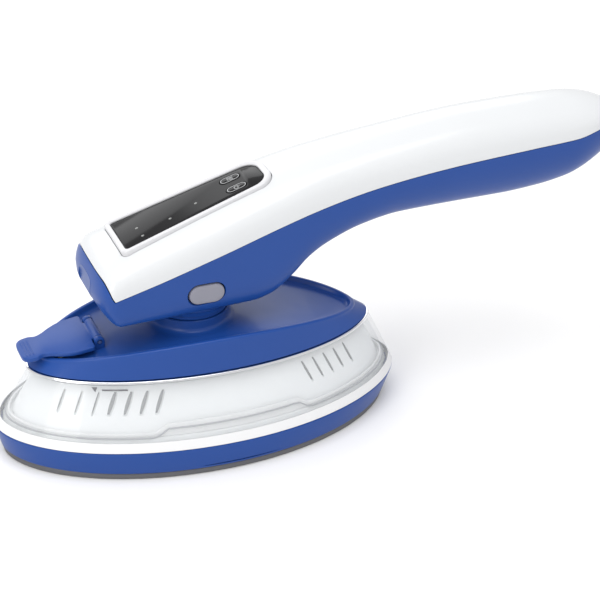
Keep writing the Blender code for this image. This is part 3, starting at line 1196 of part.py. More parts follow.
def make_screws(steel):
    """Every screw, each its own piece."""
    for index, (x, y) in enumerate(SOLE_SCREWS, 1):
        screw_piece(f"sole_screw_{index}", x, y, FLOOR_TOP + GAP, SOLE_THICKNESS * 0.3 + GAP, steel)
    for index, (x, y) in enumerate(COVER_SCREWS, 1):
        screw_piece(f"cover_screw_{index}", x, y, FLOOR_FOOT - GAP, FLOOR_TOP + 0.0110, steel, head_down=True)
    flange_foot = FLANGE_TOP - SPINDLE_FLANGE
    for index, (x, y) in enumerate(spindle_screw_places(), 1):
        screw_piece(f"spindle_screw_{index}", x, y, flange_foot - GAP, BOSS_TOP - 0.0010, steel, head_down=True)
    for index, x in enumerate(HANDLE_SCREWS_X, 1):
        screw_piece(f"handle_screw_{index}", x, 0.0, screw_seat(x) - GAP, split_line(x) + 0.0080, steel,
                    head_down=True)


# ---------------------------------------------------------------- the whole object
def main():
    """Build every sub-part."""
    clear_scene()
    blue = finish("blue_gloss_plastic", (0.030, 0.090, 0.330), 0.25)
    white = finish("white_gloss_plastic", (0.80, 0.81, 0.83), 0.22)
    liner = finish("white_liner_plastic", (0.82, 0.83, 0.84), 0.35)
    clear = finish("clear_plastic", (0.90, 0.92, 0.94), 0.08, alpha=0.35)
    pearl = finish("pearl_plastic", (0.72, 0.72, 0.73), 0.28, 0.2)
    bright = finish("bright_trim", (0.78, 0.79, 0.81), 0.15, 0.9)
    silver = finish("silver_plastic", (0.60, 0.60, 0.62), 0.25, 0.6)
    glass = finish("black_panel", (0.02, 0.02, 0.02), 0.06)
    grey = finish("grey_plastic", (0.33, 0.33, 0.38), 0.40)
    sole = finish("dark_sole", (0.12, 0.12, 0.13), 0.30, 0.8)
    cast = finish("cast_aluminium", (0.50, 0.50, 0.50), 0.50, 1.0)
    steel = finish("steel", (0.55, 0.55, 0.56), 0.30, 1.0)
    silicone = finish("silicone", (0.62, 0.63, 0.62), 0.55)
    rubber = finish("black_rubber", (0.03, 0.03, 0.03), 0.60)
    board = finish("board_green", (0.02, 0.16, 0.06), 0.45)
    nylon = finish("nylon", (0.70, 0.68, 0.62), 0.50)
    copper = finish("copper_coil", (0.45, 0.17, 0.07), 0.40, 0.9)

    make_soleplate(sole)
    make_gasket(silicone)
    make_heater(cast, steel)
    make_heat_guards(steel, nylon)
    make_base_skirt(blue)
    make_heat_shield(steel)
    make_inner_housing(liner)
    make_well_seal(silicone)
    make_liner(liner)
    make_tank(clear, pearl, silicone, bright)
    make_cover(blue)
    make_flap(blue, steel, silicone)
    make_turret(steel, nylon, nylon, steel)
    make_handle_shells(white, blue)
    make_panel(silver, glass, glass, board)
    for side, name in ((-1, "left"), (1, "right")):
        make_button(f"release_button_{name}", side, grey)
        make_spring(f"release_spring_{name}", side, steel)
    make_bridge(nylon)
    make_pump(nylon, copper, rubber)
    make_hoses(silicone)
    make_wiring(nylon, rubber, rubber)
    make_screws(steel)


main()
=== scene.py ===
"""Handheld garment steamer: detailed pieces and finishes over its fixed frame.

All lengths are in metres. The nose points along -X, the near side is -Y and the sole lies on Z = 0.
"""

import json
import logging
import math
from dataclasses import dataclass
from enum import Enum
from typing import Callable, Iterable, Optional

import bmesh
import bpy
from mathutils import Matrix, Vector


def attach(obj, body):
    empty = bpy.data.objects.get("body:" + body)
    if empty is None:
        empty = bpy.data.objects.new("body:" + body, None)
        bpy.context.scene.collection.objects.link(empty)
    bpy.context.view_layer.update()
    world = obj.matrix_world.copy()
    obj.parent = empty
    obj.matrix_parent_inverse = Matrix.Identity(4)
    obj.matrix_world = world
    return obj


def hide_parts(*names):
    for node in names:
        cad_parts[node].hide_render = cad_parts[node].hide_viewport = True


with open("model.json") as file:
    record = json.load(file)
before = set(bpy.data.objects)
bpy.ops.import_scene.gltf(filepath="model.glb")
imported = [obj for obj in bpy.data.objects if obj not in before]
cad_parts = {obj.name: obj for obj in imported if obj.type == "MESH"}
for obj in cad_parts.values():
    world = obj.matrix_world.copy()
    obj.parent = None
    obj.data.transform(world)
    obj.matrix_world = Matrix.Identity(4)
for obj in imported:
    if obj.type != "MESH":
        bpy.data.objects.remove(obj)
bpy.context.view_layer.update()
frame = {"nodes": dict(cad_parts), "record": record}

Flat = tuple[float, float]
Point = tuple[float, float, float]
Outline = list[Flat]
Ring = list[Point]
Colour = tuple[float, float, float]
Line = Callable[[float], float]
Thing = bpy.types.Object
Oval = tuple[float, float, float, float]  # height, half length, half width, X of its middle

GAP = 0.0003  # clearance between pieces that fit
SMALLEST = 1e-6
log = logging.getLogger("steamer")


class Body(str, Enum):
    """The moving bodies that pieces ride on."""

    HEAD = "head"
    FLAP = "flap"
    HANDLE = "handle"
    RELEASE_LEFT = "release_left"
    RELEASE_RIGHT = "release_right"
    POWER_KEY = "power_key_body"
    STEAM_KEY = "steam_key_body"


class Side(Enum):
    """Near (-Y) and far (+Y) side."""

    NEAR = -1
    FAR = 1


class Merge(str, Enum):
    """How one solid meets another."""

    CUT = "DIFFERENCE"
    JOIN = "UNION"


class Grain(Enum):
    """Kinds of small surface relief."""

    MOULDED = "moulded"
    CAST = "cast"
    BRUSHED = "brushed"
    WOUND = "wound"


# ---------------------------------------------------------------- finishes
@dataclass(frozen=True)
class Finish:
    """A procedural surface: two close colours, uneven gloss and a fine relief.

    Attributes:
        name: Material name.
        slot: Slot of the record that the finish belongs to.
        colour: Main linear colour.
        shade: Second linear colour, mixed in by a broad cloud.
        roughness: Lowest and highest roughness.
        metallic: Share of metal.
        coat: Weight of the glossy coat.
        alpha: Opacity.
        relief: Height of the relief.
        grain: Kind of relief.
        specular: Level of the plain reflection.
    """

    name: str
    slot: str
    colour: Colour
    shade: Colour
    roughness: Flat
    metallic: float = 0.0
    coat: float = 0.0
    alpha: float = 1.0
    relief: float = 0.00001
    grain: Grain = Grain.MOULDED
    specular: float = 0.5

    def material(self) -> bpy.types.Material:
        """Return the finish's material, made on first use.

        Returns:
            The material with its nodes.
        """
        made = bpy.data.materials.get(self.name)
        if made:
            return made
        made = bpy.data.materials.new(self.name)
        made.use_nodes = True
        nodes, links = made.node_tree.nodes, made.node_tree.links
        shader = nodes["Principled BSDF"]
        shader.inputs["Metallic"].default_value = self.metallic
        shader.inputs["Coat Weight"].default_value = self.coat
        shader.inputs["Coat Roughness"].default_value = 0.04
        shader.inputs["Alpha"].default_value = self.alpha
        shader.inputs["Specular IOR Level"].default_value = self.specular
        place = nodes.new("ShaderNodeTexCoord")
        cloud = self.texture(nodes, "ShaderNodeTexNoise", {"Scale": 28.0, "Detail": 3.0})
        links.new(place.outputs["Object"], cloud.inputs["Vector"])
        tint = nodes.new("ShaderNodeMix")
        tint.data_type = "RGBA"
        tint.inputs["A"].default_value = (*self.colour, 1.0)
        tint.inputs["B"].default_value = (*self.shade, 1.0)
        links.new(cloud.outputs["Fac"], tint.inputs["Factor"])
        links.new(tint.outputs["Result"], shader.inputs["Base Color"])
        spread = nodes.new("ShaderNodeMapRange")
        spread.inputs["To Min"].default_value = self.roughness[0]
        spread.inputs["To Max"].default_value = self.roughness[1]
        smear = self.texture(nodes, "ShaderNodeTexNoise", {"Scale": 120.0, "Detail": 4.0})
        links.new(place.outputs["Object"], smear.inputs["Vector"])
        links.new(smear.outputs["Fac"], spread.inputs["Value"])
        links.new(spread.outputs["Result"], shader.inputs["Roughness"])
        relief = self.relief_texture(nodes, links, place)
        bump = nodes.new("ShaderNodeBump")
        bump.inputs["Distance"].default_value = self.relief
        bump.inputs["Strength"].default_value = 0.6
        links.new(relief.outputs["Fac"], bump.inputs["Height"])
        links.new(bump.outputs["Normal"], shader.inputs["Normal"])
        return made

    @staticmethod
    def texture(nodes: bpy.types.Nodes, kind: str, values: dict[str, float]) -> bpy.types.Node:
        """Add a texture node.

        Args:
            nodes: The material's nodes.
            kind: Node type.
            values: Numbers for its sockets by name.

        Returns:
            The new node.
        """
        node = nodes.new(kind)
        for socket, value in values.items():
            node.inputs[socket].default_value = value
        return node

    def relief_texture(self, nodes: bpy.types.Nodes, links: bpy.types.NodeLinks,
                       place: bpy.types.Node) -> bpy.types.Node:
        """Add the texture that the relief follows.

        Args:
            nodes: The material's nodes.
            links: The material's links.
            place: Node that gives the coordinates.

        Returns:
            A texture node with a Fac output.
        """
        source = place.outputs["Object"]
        if self.grain is Grain.WOUND:
            texture = self.texture(nodes, "ShaderNodeTexWave", {"Scale": 400.0, "Distortion": 0.3})
        elif self.grain is Grain.CAST:
            texture = self.texture(nodes, "ShaderNodeTexNoise", {"Scale": 700.0, "Detail": 6.0})
        elif self.grain is Grain.BRUSHED:
            stretch = nodes.new("ShaderNodeMapping")
            stretch.inputs["Scale"].default_value = (30.0, 1500.0, 1500.0)
            links.new(source, stretch.inputs["Vector"])
            source = stretch.outputs["Vector"]
            texture = self.texture(nodes, "ShaderNodeTexNoise", {"Scale": 1.0, "Detail": 3.0})
        else:
            texture = self.texture(nodes, "ShaderNodeTexNoise", {"Scale": 1600.0, "Detail": 2.0})
        links.new(source, texture.inputs["Vector"])
        return texture


BLUE = Finish("blue_gloss_plastic", "blue_plastic", (0.010, 0.056, 0.262), (0.012, 0.061, 0.280),
              (0.30, 0.40),
              coat=0.06, specular=0.28)
WHITE = Finish("white_gloss_plastic", "white_plastic", (0.635, 0.648, 0.662), (0.655, 0.668, 0.682),
               (0.20, 0.28), coat=0.15)
LINER = Finish("white_liner_plastic", "white_liner", (0.790, 0.805, 0.815), (0.810, 0.825, 0.835),
               (0.28, 0.38))
CLEAR = Finish("clear_tank_plastic", "clear_plastic", (0.80, 0.83, 0.85), (0.83, 0.85, 0.87),
               (0.05, 0.09), coat=0.3,
               alpha=0.22, relief=0.000004)
PEARL = Finish("pearl_plastic", "pearl_plastic", (0.52, 0.53, 0.545), (0.58, 0.59, 0.605),
               (0.22, 0.32), 0.35, coat=0.4)
BRIGHT = Finish("bright_trim", "bright_trim", (0.84, 0.86, 0.89), (0.88, 0.90, 0.93),
                (0.12, 0.20), 0.55, coat=0.3)
SILVER = Finish("silver_plastic", "silver_plastic", (0.44, 0.44, 0.46), (0.50, 0.50, 0.52),
                (0.20, 0.28), 0.55, coat=0.4)
PANEL = Finish("black_panel_glass", "black_panel", (0.008, 0.008, 0.009), (0.011, 0.011, 0.012),
               (0.09, 0.12),
               relief=0.000002, specular=0.15)
PRINT = Finish("pale_key_print", "silver_plastic", (0.42, 0.43, 0.44), (0.50, 0.51, 0.52), (0.30, 0.40))
LAMP = Finish("dim_lamp_lens", "silver_plastic", (0.16, 0.165, 0.16), (0.20, 0.205, 0.20),
              (0.15, 0.25), coat=0.5)
GREY = Finish("grey_button_plastic", "grey_plastic", (0.215, 0.216, 0.262), (0.232, 0.233, 0.280),
              (0.34, 0.46))
# Dark grey finish of the hoop under the trim and of the line along the pearl band's step: painted shade
# lines.
SHADOW = Finish("painted_shade_line", "silicone", (0.20, 0.21, 0.23), (0.26, 0.27, 0.29), (0.45, 0.60))
# Near-black finish of the hoop behind the liner's slots: painted shade that darkens the slots.
SHADE = Finish("painted_slot_shade", "grey_plastic", (0.030, 0.030, 0.033), (0.045, 0.045, 0.048),
               (0.50, 0.60))
MARK = Finish("grey_level_print", "grey_plastic", (0.12, 0.12, 0.13), (0.16, 0.16, 0.17), (0.40, 0.50))
SOLE = Finish("dark_sole", "dark_sole", (0.050, 0.046, 0.043), (0.070, 0.065, 0.060), (0.30, 0.42), 0.6,
              grain=Grain.BRUSHED, relief=0.00002)
CAST = Finish("cast_aluminium", "cast_aluminium", (0.50, 0.50, 0.50), (0.42, 0.42, 0.43), (0.45, 0.62), 1.0,
              grain=Grain.CAST, relief=0.00008)
STEEL = Finish("turned_steel", "steel", (0.56, 0.56, 0.57), (0.50, 0.50, 0.51), (0.24, 0.36), 1.0,
               grain=Grain.BRUSHED, relief=0.00002)
SILICONE = Finish("silicone", "silicone", (0.60, 0.61, 0.60), (0.66, 0.67, 0.66), (0.50, 0.62))
NYLON = Finish("natural_nylon", "nylon", (0.70, 0.68, 0.62), (0.64, 0.62, 0.56), (0.42, 0.55))
COPPER = Finish("wound_copper", "copper", (0.45, 0.17, 0.07), (0.38, 0.13, 0.05), (0.30, 0.45), 0.9,
                grain=Grain.WOUND, relief=0.0001)
RUBBER = Finish("black_rubber", "black_rubber", (0.028, 0.028, 0.029), (0.038, 0.038, 0.040), (0.52, 0.68),
                grain=Grain.CAST, relief=0.00003)
BOARD = Finish("board_green", "board_green", (0.02, 0.16, 0.06), (0.03, 0.20, 0.08), (0.38, 0.50))
FLOOR = Finish("pale_floor", "", (0.87, 0.865, 0.86), (0.88, 0.875, 0.87), (0.55, 0.70))
FINISHES = (BLUE, WHITE, LINER, CLEAR, PEARL, BRIGHT, SILVER, PANEL, GREY, SOLE, CAST, STEEL, SILICONE, NYLON,
            COPPER, RUBBER, BOARD)


# ---------------------------------------------------------------- building
def solid(name: str, points: list[Point], faces: list[list[int]], crease: float = 32.0) -> Thing:
    """Make a mesh object with outward faces, shaded smooth but for its sharp edges.

    Args:
        name: Object name.
        points: Corners.
        faces: Corner numbers of each face.
        crease: Angle in degrees from which an edge is sharp.

    Returns:
        The new object.
    """
    data = bpy.data.meshes.new(name)
    data.from_pydata([tuple(point) for point in points], [], faces)
    thing = bpy.data.objects.new(name, data)
    bpy.context.scene.collection.objects.link(thing)
    tidy(thing, crease)
    return thing


def tidy(thing: Thing, crease: float = 32.0) -> Thing:
    """Weld a mesh, turn its faces outward and shade it.

    Args:
        thing: The object.
        crease: Angle in degrees from which an edge is sharp.

    Returns:
        The same object.
    """
    mesh = bmesh.new()
    mesh.from_mesh(thing.data)
    bmesh.ops.remove_doubles(mesh, verts=mesh.verts, dist=SMALLEST)
    bmesh.ops.dissolve_degenerate(mesh, edges=mesh.edges, dist=SMALLEST)
    bmesh.ops.recalc_face_normals(mesh, faces=mesh.faces)
    mesh.to_mesh(thing.data)
    mesh.free()
    thing.data.shade_smooth()
    thing.data.set_sharp_from_angle(angle=math.radians(crease))
    return thing


def loft(name: str, rings: list[Ring], loop: bool = False, crease: float = 32.0) -> Thing:
    """Make a skin through rings of as many points each.

    Args:
        name: Object name.
        rings: The rings.
        loop: True joins the last ring to the first; False caps both ends.
        crease: Angle in degrees from which an edge is sharp.

    Returns:
        The new object.
    """
    count = len(rings[0])
    points = [point for ring in rings for point in ring]
    faces = []
    for row in range(len(rings) if loop else len(rings) - 1):
        low, high = row * count, (row + 1) % len(rings) * count
        faces += [[low + i, low + (i + 1) % count, high + (i + 1) % count, high + i] for i in range(count)]
    if not loop:
        faces += [list(range(count)), list(range(len(points) - count, len(points)))]
    return solid(name, points, faces, crease)


def baked(thing: Thing) -> Thing:
    """Apply an object's modifiers.

    Args:
        thing: The object.

    Returns:
        The same object with its shape in its mesh.
    """
    bpy.context.view_layer.update()
    graph = bpy.context.evaluated_depsgraph_get()
    data = bpy.data.meshes.new_from_object(thing.evaluated_get(graph))
    old = thing.data
    thing.modifiers.clear()
    thing.data = data
    bpy.data.meshes.remove(old)
    data.name = thing.name
    return tidy(thing)


def merge(thing: Thing, how: Merge, *others: Thing) -> Thing:
    """Cut other solids out of a piece or join them to it.

    Args:
        thing: The piece.
        how: Which of the two.
        others: The other solids, which are used up.

    Returns:
        The piece.
    """
    for other in others:
        step = thing.modifiers.new(how.value.lower(), "BOOLEAN")
        step.operation = how.value
        step.solver = "EXACT"
        step.object = other
    baked(thing)
    for other in others:
        bpy.data.objects.remove(other, do_unlink=True)
    return thing


def eased(thing: Thing, width: float, segments: int = 3, from_angle: float = 50.0) -> Thing:
    """Round a piece's sharp edges.

    Args:
        thing: The piece.
        width: Width of the rounding.
        segments: Steps of the rounding.
        from_angle: Least angle in degrees that is rounded.

    Returns:
        The piece.
    """
    step = thing.modifiers.new("ease", "BEVEL")
    step.width = width
    step.segments = segments
    step.limit_method = "ANGLE"
    step.angle_limit = math.radians(from_angle)
    step.use_clamp_overlap = True
    step.harden_normals = False
    return baked(thing)


def level(outline: Outline, height: float) -> Ring:
    """Return an outline in plan as a ring at a height."""
    return [(x, y, height) for x, y in outline]


def upright(outline: Outline, distance: float) -> Ring:
    """Return an outline in X and Z as a ring at a distance along Y."""
    return [(x, distance, z) for x, z in outline]


def prism(name: str, outline: Outline, foot: float, top: float) -> Thing:
    """Make a flat plate of one outline between two heights."""
    return loft(name, [level(outline, foot), level(outline, top)])


def turned(name: str, profile: list[Flat], centre: Flat = (0.0, 0.0), steps: int = 64) -> Thing:
    """Make a turned ring from a closed profile.

    Args:
        name: Object name.
        profile: (radius, height) corners of the section, in order.
        centre: Axis in plan.
        steps: Steps round the axis.

    Returns:
        The new object.
    """
    rings = [level(circle(radius, centre, steps), height) for radius, height in profile]
    return loft(name, rings, loop=True)


def rod(name: str, radius: float, low: float, high: float, centre: Flat, steps: int = 32) -> Thing:
    """Make an upright round rod between two heights."""
    return prism(name, circle(radius, centre, steps), low, high)


def moved(thing: Thing, matrix: Matrix) -> Thing:
    """Move a piece's corners by a matrix, so that the object stays at the origin."""
    thing.data.transform(matrix)
    return tidy(thing)


def together(name: str, things: list[Thing]) -> Thing:
    """Make one object of several that don't touch.

    Args:
        name: Object name.
        things: The objects, which are used up.

    Returns:
        The new object.
    """
    points, faces = [], []
    for thing in things:
        start = len(points)
        points += [tuple(corner.co) for corner in thing.data.vertices]
        faces += [[start + i for i in face.vertices] for face in thing.data.polygons]
        bpy.data.objects.remove(thing, do_unlink=True)
    return solid(name, points, faces)


def dress(thing: Thing, finish: Finish, body: Body, replaces: Iterable[str] = ()) -> Thing:
    """Give a piece its finish, the body it rides on and the nodes it stands for.

    Args:
        thing: The piece.
        finish: Its finish.
        body: The body it rides on.
        replaces: Names of the nodes it stands for.

    Returns:
        The piece.
    """
    thing.data.materials.clear()
    thing.data.materials.append(finish.material())
    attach(thing, body.value)
    names = list(replaces)
    if names:
        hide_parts(*names)
    log.info("%s: %d faces, on %s", thing.name, len(thing.data.polygons), body.value)
    return thing


# ---------------------------------------------------------------- outlines and lines
def circle(radius: float, centre: Flat = (0.0, 0.0), steps: int = 48) -> Outline:
    """Return the points of a circle."""
    turns = [2 * math.pi * i / steps for i in range(steps)]
    return [(centre[0] + radius * math.cos(turn), centre[1] + radius * math.sin(turn)) for turn in turns]


def pill(length: float, width: float, centre: Flat = (0.0, 0.0), arc: int = 14) -> Outline:
    """Return the outline of a slot with round ends along X.

    Args:
        length: Whole length.
        width: Width.
        centre: Its middle.
        arc: Steps of each round end.

    Returns:
        The outline.
    """
    points = []
    for side in (1, -1):
        for i in range(arc + 1):
            turn = math.pi * i / arc - math.pi / 2 + (0.0 if side > 0 else math.pi)
            points.append((centre[0] + side * (length - width) / 2 + width / 2 * math.cos(turn),
                           centre[1] + width / 2 * math.sin(turn)))
    return points


def softened(corners: list[Flat], reach: float, steps: int = 4, closed: bool = True) -> Outline:
    """Round the corners of an outline.

    Args:
        corners: The corners.
        reach: How far from a corner its rounding starts.
        steps: Steps of each rounding.
        closed: False leaves the two ends as they are.

    Returns:
        The rounded outline.
    """
    points: Outline = []
    count = len(corners)
    for i, corner in enumerate(corners):
        if not closed and i in (0, count - 1):
            points.append(corner)
            continue
        here, before, after = Vector(corner), Vector(corners[i - 1]), Vector(corners[(i + 1) % count])
        start = here + (before - here) * min(reach / max((before - here).length, SMALLEST), 0.49)
        end = here + (after - here) * min(reach / max((after - here).length, SMALLEST), 0.49)
        for k in range(steps + 1):
            t = k / steps
            points.append(tuple((1 - t) ** 2 * start + 2 * t * (1 - t) * here + t * t * end))
    return points


def smooth_line(points: list[Flat]) -> Line:
    """Return a line that passes smoothly through points and never overshoots them.

    Args:
        points: (x, value) points in rising x.

    Returns:
        A function of x.
    """
    xs, values = zip(*points)
    rises = [(values[i + 1] - values[i]) / (xs[i + 1] - xs[i]) for i in range(len(xs) - 1)]
    slopes = [rises[0]]
    slopes += [0.0 if a * b <= 0 else 2 * a * b / (a + b) for a, b in zip(rises, rises[1:])]
    slopes.append(rises[-1])

    def value(x: float) -> float:
        """Return the line's value at x."""
        x = min(max(x, xs[0]), xs[-1])
        i = next(k for k in range(len(xs) - 1) if x <= xs[k + 1])
        width = xs[i + 1] - xs[i]
        t = (x - xs[i]) / width
        return ((1 + 2 * t) * (1 - t) ** 2 * values[i] + t * (1 - t) ** 2 * width * slopes[i]
                + t * t * (3 - 2 * t) * values[i + 1] + t * t * (t - 1) * width * slopes[i + 1])

    return value


# ---------------------------------------------------------------- head
@dataclass
class HeadLines:
    """Outlines that the head's pieces share."""

    steps: int = 176
    nose_power: float = 1.1
    heel_power: float = 1.17
    band_foot: Oval = (0.0033, 0.0963, 0.0497, 0.0)
    band_top: Oval = (0.0148, 0.1000, 0.0505, 0.0008)
    trim_line: Oval = (0.0440, 0.0843, 0.0347, 0.0019)
    rim_half: Flat = (0.0783, 0.0331)
    rim_x: float = 0.0008
    rim_end: float = 0.0496
    rim_arch: float = 0.0108

    def oval(self, half_length: float, half_width: float, centre: float = 0.0, power: Optional[float] = None,
             steps: int = 0) -> Outline:
        """Return the head's plan outline, anticlockwise from the heel.

        Args:
            half_length: Half length.
            half_width: Half width.
            centre: X of its middle.
            power: Power of its fullness, or None for the head's own.
            steps: Number of points, or 0 for the head's own.

        Returns:
            The outline.
        """
        count = steps or self.steps
        points = []
        for i in range(count):
            turn = 2 * math.pi * i / count
            share = power or (self.nose_power if math.cos(turn) < 0 else self.heel_power)
            rise = math.sin(turn)
            points.append((centre + half_length * math.cos(turn),
                           half_width * math.copysign(abs(rise) ** share, rise)))
        return points

    def between(self, low: Oval, high: Oval, height: float, inset: float) -> Outline:
        """Return the outline at a height between two levels, moved inward by an inset."""
        share = (height - low[0]) / (high[0] - low[0])
        length, width, centre = (a + (b - a) * share for a, b in zip(low[1:], high[1:]))
        return self.oval(length - inset, width - inset, centre)

    def skirt(self, height: float, inset: float) -> Outline:
        """Return the outline of the leaning tank wall."""
        return self.between(self.band_top, self.trim_line, height, inset)

    def band(self, height: float, inset: float) -> Outline:
        """Return the outline of the band round the base."""
        return self.between(self.band_foot, self.band_top, height, inset)

    def rim_height(self, x: float) -> float:
        """Return the height of the arched rim at x."""
        share = (x - self.rim_x) / self.rim_half[0]
        return self.rim_end + self.rim_arch * max(0.0, 1 - share * share)

    def hoop(self, name: str, wall: Callable[[float, float], Outline], corners: list[Flat],
             reach: float) -> Thing:
        """Make a hoop round the head from its rounded section.

        Args:
            name: Object name.
            wall: Outline at a height and an inset.
            corners: (inset, height) corners of the section.
            reach: How far from each corner its rounding starts.

        Returns:
            The hoop.
        """
        rings = [level(wall(height, inset), height) for inset, height in softened(corners, reach)]
        return loft(name, rings, loop=True)

    def on_skirt(self, x: float, height: float, side: Side, inset: float) -> Point:
        """Return the point of the tank wall at x and a height, moved inward by an inset.

        Args:
            x: Place along the head.
            height: Height.
            side: Near or far side.
            inset: How far inward.

        Returns:
            The point.
        """
        share = (height - self.band_top[0]) / (self.trim_line[0] - self.band_top[0])
        length, width, centre = (a + (b - a) * share for a, b in zip(self.band_top[1:], self.trim_line[1:]))
        along = min(max((x - centre) / (length - inset), -1.0), 1.0)
        power = self.nose_power if along < 0 else self.heel_power
        return (x, side.value * (width - inset) * (1 - along * along) ** (power / 2), height)


@dataclass
class Base:
    """Soleplate and the blue band round the base."""

    lines: HeadLines
    sole_half: Flat = (0.0955, 0.0489)
    sole_thickness: float = 0.0030
    sole_border: float = 0.0040
    sole_edge: float = 0.0008
    screw_radius: float = 0.0018
    steam_row: Flat = (0.066, 0.0248)
    steam_holes: int = 14
    steam_radius: float = 0.0016
    screw_places: tuple[Flat, ...] = ((-0.012, 0.014), (-0.012, -0.014), (0.029, 0.0145), (0.029, -0.0145))
    band_wall: float = 0.0024
    band_lip: float = 0.0065
    band_ledge: float = 0.016
    slit: tuple[float, float, float, float] = (-0.0146, 0.0234, 0.0044, 0.0050)

    def soleplate(self) -> Thing:
        """Make the soleplate with eased edges, steam holes and screw sockets."""
        length, width = self.sole_half
        top, border = self.sole_thickness, self.sole_border
        corners = [(border, 0.0), (0.0, 0.0), (0.0, top), (border, top)]
        section = softened(corners, self.sole_edge, 5, closed=False)
        sole = loft("soleplate_polished", [level(self.lines.oval(length - inset, width - inset), height)
                                           for inset, height in section])
        drills = []
        for x, y in self.lines.oval(*self.steam_row, steps=self.steam_holes):
            mouth = self.steam_radius + 0.0010
            rings = [(mouth, -0.001), (mouth, 0.0), (self.steam_radius, 0.0009),
                     (self.steam_radius, top + 0.001)]
            drills.append(loft("steam_drill", [level(circle(radius, (x, y), 24), z) for radius, z in rings]))
        drills += [rod("screw_drill", self.screw_radius, top * 0.3, top + 0.001, place, 16)
                   for place in self.screw_places]
        return merge(sole, Merge.CUT, together("sole_drills", drills))

    def band(self) -> Thing:
        """Make the blue band with its long dark slit."""
        lines, foot, top = self.lines, self.lines.band_foot[0], self.lines.band_top[0]
        lip_top, ledge_foot = foot + 0.0020, top - self.band_wall
        corners = [(0.0, foot), (0.0, top), (self.band_ledge, top), (self.band_ledge, ledge_foot),
                   (self.band_wall, ledge_foot), (self.band_wall, lip_top), (self.band_lip, lip_top),
                   (self.band_lip, foot)]
        hoop = lines.hoop("base_band", lines.band, corners, 0.0007)
        start, end, low, high = self.slit
        cutters = []
        for side in Side:
            sections = []
            for i in range(25):
                x = start + (end - start) * i / 24
                swell = math.sin(math.pi * i / 24) ** 0.4
                middle, half = (low + high) / 2, (high - low) / 2 * max(swell, 0.05)
                sections.append([(x, side.value * (self.band_y(x) + out), z)
                                 for out, z in ((0.002, middle - half), (0.002, middle + half),
                                                (-0.0011, middle + half), (-0.0011, middle - half))])
            cutters.append(loft("slit_cutter", sections))
        return merge(hoop, Merge.CUT, together("slit_cutters", cutters))

    def band_y(self, x: float) -> float:
        """Return the band's half width at x near its foot."""
        _, length, width, centre = self.lines.band_foot
        return width * (1 - ((x - centre) / length) ** 2) ** (self.lines.nose_power / 2)

    def build(self) -> None:
        """Build and dress the base."""
        dress(self.soleplate(), SOLE, Body.HEAD, ["soleplate"])
        dress(self.band(), BLUE, Body.HEAD, ["base_skirt"])


